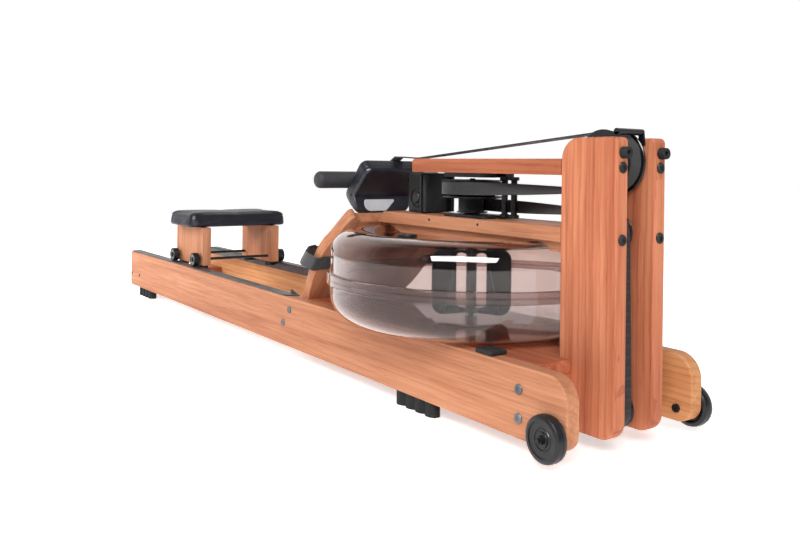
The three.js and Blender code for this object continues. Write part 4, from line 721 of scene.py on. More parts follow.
@dataclass(frozen=True)
class WebbingFinish:
    """Woven strap: ribs across its length, threads in each rib, painted shade in the grooves and cloudy wear."""

    name: str
    dark: Tint
    pale: Tint
    ribs: float
    threads: float

    def material(self) -> Material:
        """The finish as a node material on the strap's own UV map."""
        nodes = Nodes(self.name)
        parts = nodes.add("ShaderNodeSeparateXYZ")
        nodes.join(nodes.place(uv=True), parts.inputs[0])
        rib, thread = (
            nodes.math("SINE", nodes.math("MULTIPLY", parts.outputs[axis], count * math.tau))
            for axis, count in (("Y", self.ribs), ("X", self.threads))
        )
        weave = nodes.math("MULTIPLY", rib, thread)
        height = nodes.math("ADD", nodes.math("MULTIPLY", rib, 0.6), nodes.math("MULTIPLY", weave, 0.4))
        wear = nodes.noise(nodes.place(), 60, 4)
        # Colour follows the rib and weave height: paler tops and darker grooves are painted shade; the noise adds
        # cloudy wear.
        level = nodes.math("MULTIPLY", nodes.span(height, 0, 1), 0.45)
        rib_shade_and_wear = nodes.math("ADD", level, nodes.math("MULTIPLY", wear, 0.4))
        nodes.shade(rib_shade_and_wear, (0.2, self.dark), (0.75, self.pale))
        nodes.bump(height, 0.5, 0.0004)
        nodes.set(Roughness=0.82, Sheen_Weight=0.25, Sheen_Roughness=0.5, Specular_IOR_Level=0.3)
        return nodes.material


@dataclass(frozen=True)
class TankFinish:
    """Clear smoked plastic: it lets light through with a warm tint and has fine scuffs."""

    name: str
    tint: Triple
    through: float

    def material(self) -> Material:
        """The finish as a node material."""
        nodes = Nodes(self.name)
        spot = nodes.place()
        nodes.into("Roughness", nodes.span(nodes.noise(spot, 14, 6, 0.7), 0.0, 0.05))
        stops = [(0.3, (*self.tint, 1)), (0.7, (*[t * 0.96 for t in self.tint], 1))]
        nodes.into("Base Color", nodes.ramp(nodes.noise(spot, 5, 3), stops))
        nodes.set(Transmission_Weight=self.through, IOR=1.4, Specular_IOR_Level=0.5)
        return nodes.material


@dataclass(frozen=True)
class FoamFinish:
    """Closed-cell foam: tiny cells, a dull sheen and slight rub marks."""

    name: str
    colour: Tint
    rubbed: Tint

    def material(self) -> Material:
        """The finish as a node material."""
        nodes = Nodes(self.name)
        rub = nodes.noise(nodes.place((1, 0.3, 1)), 30, 4)
        nodes.shade(rub, (0.35, self.colour), (0.75, self.rubbed))
        nodes.bump(nodes.cells(nodes.place(), 900), 0.35, 0.0004)
        nodes.set(Roughness=0.72, Sheen_Weight=0.15, Sheen_Roughness=0.4, Specular_IOR_Level=0.35)
        return nodes.material


@dataclass(frozen=True)
class CoverFinish:
    """Seat cover: dark vinyl with a pebbled grain, soft creases, a satin gloss, and painted sheen that makes the
    crease tops paler than the hollows.
    """

    name: str
    colour: Tint
    painted_sheen: Tint

    def material(self) -> Material:
        """The finish as a node material."""
        nodes = Nodes(self.name)
        spot = nodes.place()
        creases = nodes.noise(spot, 34, 5, 0.6, 0.4)
        # The crease noise also colours the cover: paler crease tops and darker hollows are painted sheen and shade.
        nodes.shade(creases, (0.35, self.colour), (0.75, self.painted_sheen))
        nodes.into("Roughness", nodes.span(nodes.noise(spot, 60, 3), 0.36, 0.5))
        nodes.bump(nodes.cells(spot, 520, "SMOOTH_F1"), 0.2, 0.0005)
        nodes.bump(creases, 0.1, 0.002)
        nodes.set(Specular_IOR_Level=0.4)
        return nodes.material


class Finishes:
    """All the finishes of the machine, made once."""

    def __init__(self, nodes: dict[str, Piece]) -> None:
        """Makes every material.

        Args:
            nodes: The CAD nodes that may be given one as they stand.
        """
        self.nodes = nodes
        upright = (0, math.pi / 2, 0)
        rail = dict(light=(202, 146, 112), middle=(189, 130, 96), dark=(167, 107, 76), figure=0.75)
        post = dict(
            light=(208, 140, 104), middle=(193, 119, 86), dark=(165, 92, 64), turn=upright, figure=1.5,
            ring_scale=22
        )
        yellow = dict(light=(214, 160, 110), middle=(204, 146, 98), dark=(184, 122, 78))
        bar = dict(light=(184, 114, 80), middle=(166, 96, 66), dark=(140, 74, 50))
        shelf = dict(light=(200, 128, 94), middle=(182, 106, 74), dark=(150, 82, 56))
        cross = dict(light=(206, 134, 98), middle=(190, 112, 78), dark=(160, 88, 60), turn=(0, 0, math.pi / 2))

        def wood(name: str, shift: Triple, colours: dict, **settings: object) -> Material:
            """Cherry from its own part of the log."""
            return WoodFinish(f"{name}_cherry", shift=shift, **colours, **settings).material()

        def moulded(name: str, colour: Tint, worn: Tint, rough: Point, **settings: float) -> Material:
            """A moulding or a painted part."""
            return MouldedFinish(name, colour, worn, rough, **settings).material()

        def webbing(name: str, dark: Tint, pale: Tint, ribs: float, threads: float = 14) -> Material:
            """A woven strap."""
            return WebbingFinish(f"{name}_webbing", dark, pale, ribs, threads).material()

        def smoked(name: str, tint: Triple, through: float) -> Material:
            """A part of the tank."""
            return TankFinish(f"tank_{name}", tint, through).material()

        self.rail_right = wood("rail_right", (0.3, 0.21, 0.05), rail)
        self.rail_left = wood("rail_left", (1.7, -0.12, 0.02), yellow)
        self.upright_right = wood("upright_right", (0.2, 0.1, 0.07), post)
        self.upright_left = wood("upright_left", (0.9, 0.02, -0.1), post)
        self.bar = wood("bar", (0.8, 0.05, 0.3), bar)
        self.deck = wood("deck", (2.3, 0.4, -0.2), rail)
        self.board = wood("footboard", (0.6, 0.3, 0.4), rail, turn=(0, BOARD_ANGLE, 0))
        self.block_right = wood("seat_board_right", (0.5, -0.2, 0.3), rail, turn=upright, ring_scale=30)
        self.block_left = wood("seat_board_left", (1.4, 0.6, -0.3), rail, turn=upright)
        self.brace = wood("brace", (1.1, -0.4, 0.6), rail)
        self.shelf = wood("shelf", (0.4, 0.7, 0.9), shelf)
        self.cross = wood("cross_board", (0.2, 0.5, 0.1), cross)
        self.rubber = moulded("foot_rubber", (14, 14, 16), (30, 30, 32), (0.6, 0.82), relief=0.25, specular=0.3)
        self.plastic = moulded("black_moulding", (10, 10, 12), (24, 24, 27), (0.34, 0.5), specular=0.4)
        self.gloss = moulded("gloss_moulding", (9, 9, 12), (20, 20, 24), (0.2, 0.32), relief=0.04, specular=0.42)
        self.monitor = moulded(
            "monitor_shell", (22, 23, 31), (33, 34, 43), (0.3, 0.42), grain=3200, relief=0.12, specular=0.45
        )
        self.silver = moulded(
            "silver_plate", (206, 206, 210), (224, 224, 228), (0.3, 0.42), relief=0.05, metal=0.35
        )
        self.black_steel = moulded(
            "black_oxide_steel", (16, 16, 18), (38, 37, 38), (0.36, 0.52), grain=1500, metal=0.4
        )
        self.steel = moulded(
            "zinc_steel", (84, 85, 90), (112, 113, 118), (0.3, 0.46), grain=1500, relief=0.08, metal=0.3
        )
        self.track = moulded(
            "track_cap", (50, 45, 46), (80, 73, 72), (0.34, 0.48), grain=1800, relief=0.08, metal=0.1
        )
        self.tread = moulded("wheel_tread", (11, 11, 13), (25, 25, 28), (0.28, 0.42), specular=0.42)
        self.paddle = moulded("paddle_moulding", (16, 18, 24), (34, 36, 44), (0.3, 0.4))
        self.screen = moulded("screen_glass", (92, 104, 90), (108, 120, 104), (0.08, 0.14), relief=0.01)
        self.strap = webbing("pull", (18, 15, 17), (58, 49, 50), 420)
        self.drive = webbing("drive", (14, 13, 14), (40, 38, 40), 340)
        self.wound = webbing("wound", (9, 9, 11), (22, 21, 24), 60, 40)
        self.foot_webbing = webbing("foot", (13, 12, 14), (34, 33, 36), 130, 20)
        self.foam = FoamFinish("grip_foam", (30, 30, 34), (52, 52, 58)).material()
        # The second colour is painted sheen, laid on the crease tops of the seat cover.
        self.cover = CoverFinish("seat_cover", (9, 10, 22), (20, 21, 37)).material()
        self.tank_top = smoked("dome", (0.73, 0.61, 0.57), 1.0)
        self.tank_bowl = smoked("bowl", (0.68, 0.60, 0.585), 0.99)
        self.tank_seam = smoked("seam", (0.54, 0.43, 0.41), 0.97)

    def redress(self, node: str, finish: Material) -> None:
        """Gives a CAD node that stays as it is a better finish."""
        piece = self.nodes[node]
        piece.data.materials.clear()
        piece.data.materials.append(finish)


def dress(piece: Piece, finish: Material, body: str = "frame", replaced: Sequence[str] = ()) -> Piece:
    """Gives a piece its finish, body and the nodes that it stands for.

    Args:
        piece: The piece.
        finish: Its material.
        body: The body that it rides on.
        replaced: CAD nodes that it replaces.

    Returns:
        The piece.
    """
    piece.data.materials.clear()
    piece.data.materials.append(finish)
    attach(piece, body)
    if replaced:
        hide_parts(*replaced)
    return piece


@dataclass
class SocketBolt:
    """A round bolt head with a six-sided socket."""

    radius: float
    depth: float = 2.4
    socket: float = 3.4
    socket_depth: float = 2.2
    steps: int = 36

    def build(self, name: str, matrix: Matrix, height: float) -> Piece:
        """The bolt's head on an axis.

        Args:
            name: The piece's name.
            matrix: The axis.
            height: Where the head's face stands on it.

        Returns:
            The piece.
        """
        r, s, top = self.radius, self.socket, height + self.socket_depth + 0.2
        profile = [
            (0, top - self.depth - 1), (r, top - self.depth - 1), (r, top - 0.7), (r - 0.7, top), (s + 0.9, top),
            (s, top - 0.5), (s, top - self.socket_depth), (0, top - self.socket_depth)
        ]
        piece = Bench.turned(name, profile, Matrix.Identity(4), self.steps)
        for vertex in piece.data.vertices:
            flat = Vector((vertex.co.x, vertex.co.y))
            if abs(flat.length - s) < 0.01:
                turn = math.atan2(flat.y, flat.x) % (math.pi / 3) - math.pi / 6
                flat *= math.cos(math.pi / 6) / math.cos(turn)
                vertex.co.x, vertex.co.y = flat
        return Bench.settle(piece, matrix)


@dataclass
class Rails:
    """Two long rails with their bolts and screws, and the boards between them."""

    length: float = 2100
    bottom: float = 26.3
    top: float = RAIL_TOP
    inner: float = 134
    outer: float = 161
    corners: tuple[float, ...] = (14, 30, 42, 6)
    arris: float = 2.6
    bolts: tuple[Point, ...] = ((1180.4, 80.0), (1211.4, 114.0), (1996, 58.9), (1996, 104.7))
    screws: tuple[float, ...] = (13.5, 94.5)

    def build(self, finishes: Finishes) -> None:
        """Builds and dresses both rails."""
        for side, name in SIDES:
            outline = box_outline(0, self.length, self.bottom, self.top, *self.corners, steps=12)
            rail = Bench.plank(
                f"rail_board_{name}", outline, Way.SIDE, *between(side, self.inner, self.outer), self.arris
            )
            wood = finishes.rail_right if side < 0 else finishes.rail_left
            dress(rail, wood, replaced=[f"rail_{name}"])
            for i, (x, z) in enumerate(self.bolts):
                bolt = SocketBolt(8.5, 2.5, 4, 1.6).build(
                    f"rail_bolt_{name}_{i + 1}", cross_axis(x, z, side), self.outer + 0.5
                )
                dress(bolt, finishes.steel)
            for i, x in enumerate(self.screws):
                screw = SocketBolt(4.6, 1.5, 2, 0.9).build(
                    f"rear_screw_{name}_{i + 1}", cross_axis(x, 67, side), self.outer + 0.2
                )
                dress(screw, finishes.black_steel)
            finishes.redress(f"rear_foot_{name}", finishes.rubber)
            finishes.redress(f"middle_foot_{name}", finishes.rubber)
        self.build_cross_boards(finishes)

    def build_cross_boards(self, finishes: Finishes) -> None:
        """Builds the boards between the rails, and the rubber stops that hold the tank."""
        spacer = Bench.plank(
            "rear_cross_board", box_outline(4, 104, 53.5, 80.5, 2), Way.SIDE, -RAIL_GAP, RAIL_GAP, 1
        )
        dress(spacer, finishes.cross, replaced=["rear_spacer"])
        for node in ("front_spacer_right", "front_spacer_left", "front_spacer_middle"):
            finishes.redress(node, finishes.cross)
        start, end = 1256, 2009.5
        notch = [(end, 31.2), (1980.7, 31.2), (1980.7, 59.3), (end, 59.3)]
        half = [*notch, (end, RAIL_GAP), (start, RAIL_GAP)]
        board = Bench.plank("tank_shelf", [*mirrored(half), *half], Way.FLAT, RAIL_TOP - 22, RAIL_TOP, 1.4)
        dress(board, finishes.shelf, replaced=["tank_base_board"])
        low, high, base, top = 1886, 1928, RAIL_TOP + 0.2, 151
        for side, name in SIDES:
            stop = Bench.plank(
                f"tank_stop_{name}", box_outline(low, high, base, top, 0, 0, 4, 4), Way.SIDE,
                *between(side, 124.7, 159.5), 1.6
            )
            dress(stop, finishes.rubber)


@dataclass
class Uprights:
    """Two uprights with their bolts and storage bumpers."""

    rear: float = 1981
    front: float = 2100
    bottom: float = 28
    top: float = 505
    inner: float = 31.5
    outer: float = 59
    arris: float = 4.2
    corners: tuple[float, ...] = (9, 30, 9, 36)
    bolts: Point = (456.75, 343.5)

    def build(self, finishes: Finishes) -> None:
        """Builds and dresses both uprights."""
        for side, name in SIDES:
            outline = box_outline(self.rear, self.front, self.bottom, self.top, *self.corners, steps=12)
            upright = Bench.plank(
                f"upright_board_{name}", outline, Way.SIDE, *between(side, self.inner, self.outer), self.arris, 4
            )
            wood = finishes.upright_right if side < 0 else finishes.upright_left
            dress(upright, wood, replaced=[f"upright_{name}"])
            middle = side * (self.inner + self.outer) / 2
            for i, z in enumerate(self.bolts):
                bolt = SocketBolt(9, 2.5, 4.4, 1.6).build(
                    f"upright_bolt_{name}_{i + 1}", lengthwise_axis(middle, z), self.front + 0.4
                )
                dress(bolt, finishes.black_steel)
            bumper = Bench.turned(
                f"bumper_{name}",
                [
                    (0, 2070), (4, 2070), (4, 2100.2), (9.6, 2100.2), (9.2, 2113), (4.4, 2113), (4.2, 2107),
                    (0, 2107)
                ],
                lengthwise_axis(middle, 480), 48, arris=1.1
            )
            dress(bumper, finishes.rubber, replaced=[f"storage_bumper_{name}"])


@dataclass
class Deck:
    """The top bar, the deck over the tank and the brace under it."""

    end: float = 1980.7
    bar_start: float = 1556
    bar_low: float = 443
    bar_high: float = 470.5
    bar_half: float = 59
    deck_low: float = 331
    deck_high: float = 356
    board_front: Point = (1239.16, 123.89)

    def build(self, finishes: Finishes) -> None:
        """Builds and dresses the boards."""
        bar = Bench.plank(
            "top_bar_board", box_outline(self.bar_start, self.end, self.bar_low, self.bar_high, 3, 1, 1, 8),
            Way.SIDE, -self.bar_half, self.bar_half, 2.2
        )
        dress(bar, finishes.bar, replaced=["top_bar"])
        low, high = self.deck_low, self.deck_high
        deck = Bench.plank(
            "deck_plank", [(self.behind(low), low), (self.end, low), (self.end, high), (self.behind(high), high)],
            Way.SIDE, -self.bar_half, self.bar_half, 2
        )
        dress(deck, finishes.deck, replaced=["deck_board"])
        finishes.redress("deck_brace", finishes.brace)
        for side, name in SIDES:
            for i, x in enumerate((1618, 1769)):
                plug = SocketBolt(2.6, 1.2, 1.4, 0.7, 20).build(
                    f"deck_screw_{name}_{i + 1}", cross_axis(x, 347, side), self.bar_half + 0.1
                )
                dress(plug, finishes.black_steel)

    def behind(self, z: float) -> float:
        """Where a board that meets the footboard's front face ends at a height."""
        x, foot = self.board_front
        return x + (z - foot) * math.cos(BOARD_ANGLE) / math.sin(BOARD_ANGLE)


@dataclass
class WaterTank:
    """The two halves of the tank, its filler plug and the paddle inside."""

    centre: float = 1682
    radius: float = 282
    wall: float = 4
    bottom: float = 146
    seam: float = 236
    crest: float = 327.2
    dish: float = 313
    corner: Point = (75, 60)
    shoulder: float = 47
    dish_radius: float = 190
    plug_reach: float = 130
    plug_turn: float = math.radians(227)
    paddle_turn: float = math.radians(20.3)
    blades: int = 6
    steps: int = 160

    def lower(self, inset: float) -> list[Point]:
        """The bowl's round corner, from its floor up."""
        points = [(self.radius - self.corner[0], self.bottom + inset)]
        for i in range(1, 17):
            turn = math.pi / 2 * i / 16
            points.append(
                (
                    self.radius - self.corner[0] + (self.corner[0] - inset) * math.sin(turn),
                    self.bottom + self.corner[1] - (self.corner[1] - inset) * math.cos(turn)
                )
            )
        return points

    def upper(self, inset: float) -> list[Point]:
        """The dome's shoulder and dish, from the wall in."""
        x, z = self.radius - self.shoulder, self.crest - self.shoulder
        points = []
        for i in range(17):
            turn = math.pi / 2 * i / 16
            points.append(
                (x + (self.shoulder - inset) * math.cos(turn), z + (self.shoulder - inset) * math.sin(turn))
            )
        for i in range(1, 9):
            share = i / 8
            fall = (1 - math.cos(math.pi * share)) / 2
            points.append(
                (x + (self.dish_radius - x) * share, self.crest - inset - (self.crest - self.dish) * fall)
            )
        return points

    def build(self, finishes: Finishes) -> None:
        """Builds and dresses the tank."""
        axis = upright_axis(self.centre, 0)
        rim, slit, low, foot = self.seam, 0.15, self.bottom, RAIL_TOP + 0.3
        bowl = Bench.turned(
            "tank_bowl",
            [
                (0, low), (60, low), (60, foot), (80, foot), (80, low), *self.lower(0), (self.radius, rim - slit),
                (self.radius - self.wall, rim - slit), *reversed(self.lower(self.wall)), (12.3, low + 4),
                (12.3, low + 14), (6.3, low + 14), (6.3, low + 4), (0, low + 4)
            ],
            axis, self.steps
        )
        dress(bowl, finishes.tank_bowl, replaced=["tank_lower"])
        dome = Bench.turned(
            "tank_dome",
            [
                (self.radius - self.wall, rim + slit), (self.radius, rim + slit), *self.upper(0), (10, self.dish),
                (10, self.dish - self.wall), *reversed(self.upper(self.wall))
            ],
            axis, self.steps, closed=True
        )
        dress(dome, finishes.tank_top, replaced=["tank_upper"])
        outer = self.radius + 6
        band = Bench.turned(
            "tank_seam_band",
            [
                (self.radius + 0.3, 225), (outer - 1, 225), (outer, 226), (outer, 234.6), (outer - 0.8, 235.4),
                (outer - 0.8, 236.4), (outer, 237.2), (outer, 246), (outer - 1, 247), (self.radius + 0.3, 247)
            ],
            axis, self.steps, closed=True
        )
        dress(band, finishes.tank_seam)
        aside = self.plug_reach * math.cos(self.plug_turn), self.plug_reach * math.sin(self.plug_turn)
        plug = Bench.turned(
            "filler_plug",
            [
                (0, 304.3), (13.7, 304.3), (13.7, 313.3), (20, 313.3), (20, 316), (18.6, 317.3), (9, 317.3),
                (8, 315.6), (0, 315.6)
            ],
            upright_axis(self.centre + aside[0], aside[1]), 48
        )
        dress(plug, finishes.plastic, "fill_plug", ["fill_plug"])
        self.build_paddle(finishes)

    def build_paddle(self, finishes: Finishes) -> None:
        """Builds the paddle: a shaft, a hub with a flange at each end, and blades that stand clear of it."""
        axis = upright_axis(self.centre, 0)
        parts = [
            Bench.turned("shaft", [(0, 150.3), (6, 150.3), (6, 431), (5, 432), (0, 432)], axis, 32),
            Bench.turned(
                "hub",
                [
                    (6, 166), (16, 166), (17, 167), (17, 170), (11, 172), (10.4, 176), (10.4, 282), (11, 286),
                    (17, 288), (17, 298), (16, 299), (6, 299)
                ],
                axis, 64, closed=True
            )
        ]
        blade = rounded(
            [
                (8, 166, 0), (66, 166, 0), (88, 166, 24), (88, 302, 26), (60, 302, 6), (44, 297, 5), (8, 297, 0),
                (8, 290, 0), (36, 290, 10), (36, 173, 10), (8, 173, 0)
            ],
            10
        )
        for k in range(self.blades):
            turn = Matrix.Rotation(math.tau * k / self.blades + self.paddle_turn, 4, "Z")
            way = axis @ turn @ UPRIGHT
            parts.append(Bench.plank(f"blade_{k + 1}", blade, way, -2, 2, 0.8, 2))
        paddle = Bench.join("paddle_wheel", parts)
        dress(paddle, finishes.paddle, "paddle", ["paddle"])


@dataclass(frozen=True)
class PulleyShape:
    """A flanged pulley across the machine."""

    x: float
    z: float
    rim: float
    flange: float
    width: float
    grooves: int
    hub: float = 14
    pin: float = 5.3

    def build(self, name: str) -> Piece:
        """The pulley on its pin, spun about the pin's axis."""
        half, web, edge = self.width / 2, self.rim - 12, self.flange - 1
        face: list[Point] = []
        inner = half - 4
        step = 2 * inner / self.grooves
        for k in range(self.grooves):
            start = -inner + 2 * inner * k / self.grooves
            face += [
                (self.rim - 1, start + 0.1 * step), (self.rim, start + 0.3 * step), (self.rim, start + 0.9 * step)
            ]
        cheek = [
            (self.pin, -half), (self.hub, -half), (self.hub, 5 - half), (web, 5 - half), (web, -half),
            (edge, -half), (self.flange, 1 - half), (self.flange, 3 - half), (edge, 4 - half)
        ]
        return Bench.turned(name, [*cheek, *face, *mirrored(cheek)], cross_axis(self.x, self.z), 96, closed=True)

    def middle(self) -> Vector:
        """The pulley's middle."""
        return Vector((self.x, 0, self.z))

    def wrap(self, start: float, end: float, steps: int) -> list[Station]:
        """Stations of a strap round the pulley."""
        return wrap_cross(self.middle(), self.rim + STRAP_SEAT, start, end, steps)


def wrap_cross(middle: Vector, radius: float, start: float, end: float, steps: int) -> list[Station]:
    """Stations round a bar or a pulley that lies across the machine."""
    turns = (start + (end - start) * k / steps for k in range(steps + 1))
    return [(middle + Vector((radius * math.cos(t), 0, radius * math.sin(t))), Vector((0, 1, 0))) for t in turns]


TOP_PULLEY = PulleyShape(2037, 466.5, 48, 52.5, 46, 6)
UPPER_PULLEY = PulleyShape(2037, 350.45, 28, 31, 38, 4)
LOWER_PULLEY = PulleyShape(2044, 61, 28, 31, 38, 4)


@dataclass
class Drive:
    """Clutch drum, pulleys, their straps and the bracket between deck and top bar."""

    centre: float = 1682
    flange: float = 64
    wound: float = 58.4
    belt_drum: float = 25
    strap_height: float = 413
    belt_height: float = 380
    bar_end: Triple = (1508, 0, 472.05)
    belt_end: Triple = (1372.3, 0, 31.45)
    wrap: float = 1.6 * math.pi
    box_start: float = 1498

    def build(self, finishes: Finishes) -> None:
        """Builds and dresses the drive."""
        rim = self.flange
        drum = Bench.turned(
            "clutch_drum_wheel",
            [
                (6.3, 364), (30, 364), (31, 365), (31, 366.5), (25, 366.5), (25, 393.5), (rim - 1, 393.5),
                (rim, 394.5), (rim, 396.5), (rim - 1, 397.5), (46, 397.5), (44, 399.5), (44, 426.5),
                (rim - 1, 426.7), (rim, 427.4), (rim, 428.6), (rim - 1, 429.4), (40, 429.4), (36, 427.4),
                (22, 427.4), (19, 429.4), (6.3, 429.4)
            ],
            upright_axis(self.centre, 0), 128, closed=True
        )
        dress(drum, finishes.gloss, "clutch_drum", ["clutch_drum"])
        pulleys = {
            "top_pulley": TOP_PULLEY, "recoil_pulley_upper": UPPER_PULLEY, "recoil_pulley_lower": LOWER_PULLEY
        }
        for node, shape in pulleys.items():
            dress(shape.build(f"{node}_wheel"), finishes.gloss, node, [node])
        finishes.redress("return_pulley", finishes.gloss)
        finishes.redress("return_bracket", finishes.black_steel)
        self.build_wound_strap(finishes)
        self.build_bracket(finishes)
        finishes.redress("bungee_cord", finishes.rubber)
        self.build_guard(finishes)
        self.build_straps(finishes)

    def build_wound_strap(self, finishes: Finishes) -> None:
        """Builds the turns of the drive strap that wait on the drum."""
        outer, inner, low, high = self.wound, 44.2, 401, 425.6
        turns = 5
        step = (outer - inner) / turns
        face: list[Point] = []
        for k in range(turns):
            start = outer - k * step
            face += [
                (start, high - 0.6), (start - 0.4, high), (start - step + 0.4, high), (start - step, high - 0.7)
            ]
        bottom = [(r, low + high - z) for r, z in reversed(face)]
        coil = Bench.turned("wound_strap", [*bottom, *face], upright_axis(self.centre, 0), 128, closed=True)
        dress(coil, finishes.wound, "clutch_drum")

    def build_bracket(self, finishes: Finishes) -> None:
        """Builds the bracket between deck and top bar: plates, posts, and the box of the monitor's sensor."""
        floor, ceiling = 356.3, 442.7
        sensor = cross_axis(self.box_start + 30, 388, -1)
        rear, front, half = self.centre - 122, self.centre + 83, 42
        last = self.centre + 134
        plan = rounded([(rear, -half, 5), (front, -half, 12), (front, -12, 3), (last, -12, 5)])
        plan += mirrored(plan)
        parts = [
            Bench.plank("low_plate", plan, Way.FLAT, floor, floor + 5, 0.8, 2),
            Bench.plank("high_plate", plan, Way.FLAT, ceiling - 8, ceiling, 0.8, 2),
            Bench.plank(
                "web", box_outline(-half, half, floor + 2, ceiling - 2, 2), Way.FRONT, rear, rear + 6, 0.8, 2
            ),
            Bench.plank(
                "sensor_box", box_outline(self.box_start, rear + 3, floor + 1, ceiling - 2, 5), Way.SIDE, -26, 26,
                2.4
            ),
            Bench.turned(
                "sensor_ring", [(18, 25), (21, 25), (21, 28.4), (20.2, 29), (18.8, 29), (18, 28.4)], sensor, 64,
                closed=True
            ),
            Bench.turned("sensor_cap", [(0, 25), (12, 25), (12, 28), (10.6, 29.4), (0, 29.4)], sensor, 48),
            Bench.turned(
                "bearing", [(6.6, 331.2), (16, 331.2), (16, 362), (14.6, 363.4), (6.6, 363.4)],
                upright_axis(self.centre, 0), 48, closed=True
            )
        ]
        collar = [(6, floor + 3), (9.6, floor + 3), (9.6, floor + 8.6), (8.6, floor + 9.6), (6, floor + 9.6)]
        upper = [(r, floor + ceiling - z - 3) for r, z in reversed(collar)]
        for k, reach in enumerate((96, 122)):
            post = [*collar, *upper, (0, ceiling - 6), (0, floor + 3)]
            parts.append(Bench.turned(f"post_{k + 1}", post, upright_axis(self.centre + reach, 0), 40))
        for k, y in enumerate((-36, 36)):
            slim = [(0, floor + 3), (4.4, floor + 3), (4.4, ceiling - 6), (0, ceiling - 6)]
            parts.append(Bench.turned(f"stay_{k + 1}", slim, upright_axis(rear + 12, y), 32))
        dress(Bench.join("drive_frame", parts), finishes.black_steel, replaced=["drive_bracket"])

    def build_guard(self, finishes: Finishes) -> None:
        """Builds the bar that keeps the strap on the top pulley."""
        bar = Bench.rod("guard_bar", [(2074, -31.2, 514.5), (2074, 31.2, 514.5)], 5.5, MACHINE)
        legs = [
            Bench.plank(
                f"guard_leg_{name}",
                rounded([(2068.5, 514.5, 0), (2070, 492, 3), (2082, 492, 3), (2079.5, 514.5, 0)]), Way.SIDE,
                *between(side, 27.7, 31.2), 0.6
            )
            for side, name in SIDES
        ]
        dress(Bench.join("guard", [bar, *legs]), finishes.gloss, replaced=["strap_guard"])

    def wrap_drum(self, radius: float, height: float, way: int, steps: int) -> list[Station]:
        """Stations of a strap round the drum, from where its run to the pulleys leaves it."""
        leave = math.acos(radius / (TOP_PULLEY.x - self.centre))
        turns = (way * (leave + self.wrap * k / steps) for k in range(steps + 1))
        return [
            (Vector((self.centre + radius * math.cos(t), radius * math.sin(t), height)), Vector((0, 0, 1)))
            for t in turns
        ]

    @staticmethod
    def twist(first: Station, last: Station, steps: int) -> list[Station]:
        """A straight run that turns between two stations."""
        run = last[0] - first[0]
        axis = run.normalized()
        angle = math.atan2(axis.dot(first[1].cross(last[1])), first[1].dot(last[1]))
        return [
            (first[0] + run * (k / steps), Matrix.Rotation(angle * k / steps, 3, axis) @ first[1])
            for k in range(1, steps)
        ]

    def build_straps(self, finishes: Finishes) -> None:
        """Builds the drive strap, the recoil belt and the free strap to the handle."""
        quarter = math.pi / 2
        across = Vector((0, 1, 0))
        bar_end = Vector(self.bar_end)
        reach = TOP_PULLEY.middle() - bar_end
        slope = math.atan2(reach.z, reach.x) + math.asin((TOP_PULLEY.rim + STRAP_SEAT) / reach.length)
        high = TOP_PULLEY.wrap(slope + quarter, -quarter, 40)
        drum = self.wrap_drum(self.wound + STRAP_SEAT, self.strap_height, -1, 60)
        self.lay("drive_strap", [*high, *self.twist(high[-1], drum[0], 24), *drum], finishes)
        low = LOWER_PULLEY.wrap(-quarter, 0, 16)
        top = UPPER_PULLEY.wrap(0, quarter, 16)
        drum = self.wrap_drum(self.belt_drum + STRAP_SEAT, self.belt_height, 1, 48)
        clamp = Vector(self.belt_end)
        run = [(clamp.lerp(low[0][0], k / 12), across) for k in range(12)]
        rise = [(low[-1][0].lerp(top[0][0], k / 6), across) for k in range(1, 6)]
        route = [*run, *low, *rise, *top, *self.twist(top[-1], drum[0], 24), *drum]
        self.lay("recoil_belt", route, finishes)
        self.build_pull_strap(finishes, high[0][0], bar_end)

    @staticmethod
    def lay(node: str, route: Sequence[Station], finishes: Finishes) -> None:
        """Builds and dresses one strap of the drive."""
        strap = Bench.ribbon(f"{node}_web", route, STRAP_WIDTH, STRAP_THICKNESS, MACHINE)
        dress(strap, finishes.drive, replaced=[node])

    def build_pull_strap(self, finishes: Finishes, pulley_top: Vector, bar_end: Vector) -> None:
        """Builds the strap from the top pulley to the handle as one fixed piece, though the real strap lengthens as
        the handle is pulled.

        Args:
            finishes: The materials.
            pulley_top: Where the strap leaves the top pulley.
            bar_end: Where it passes the end of the top bar.
        """
        across = Vector((0, 1, 0))
        crest = Matrix.Scale(1 / MM, 4) @ WAYS[Way.BOARD] @ Vector((0, 380.5, 70))
        crest = Vector((crest.x + HALF_LENGTH, 0, crest.z + 4.65))
        handle = Vector((HANDLE[0], 0, HANDLE[1]))
        radius = HANDLE_CORE + STRAP_SEAT
        reach = handle - crest
        arrive = math.atan2(reach.z, reach.x) - math.asin(radius / reach.length) - math.pi / 2
        loop = wrap_cross(handle, radius, arrive, arrive + math.tau * 0.8, 40)
        route: list[Station] = []
        for start, end, steps in ((pulley_top, bar_end, 60), (bar_end, crest, 16), (crest, loop[0][0], 10)):
            route += [(start.lerp(end, k / steps), across) for k in range(steps)]
        strap = Bench.ribbon("pull_strap_web", [*route, *loop], STRAP_WIDTH, STRAP_THICKNESS, MACHINE)
        strap.data.materials.clear()
        strap.data.materials.append(finishes.strap)
        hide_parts("handle_strap")
        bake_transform(strap)


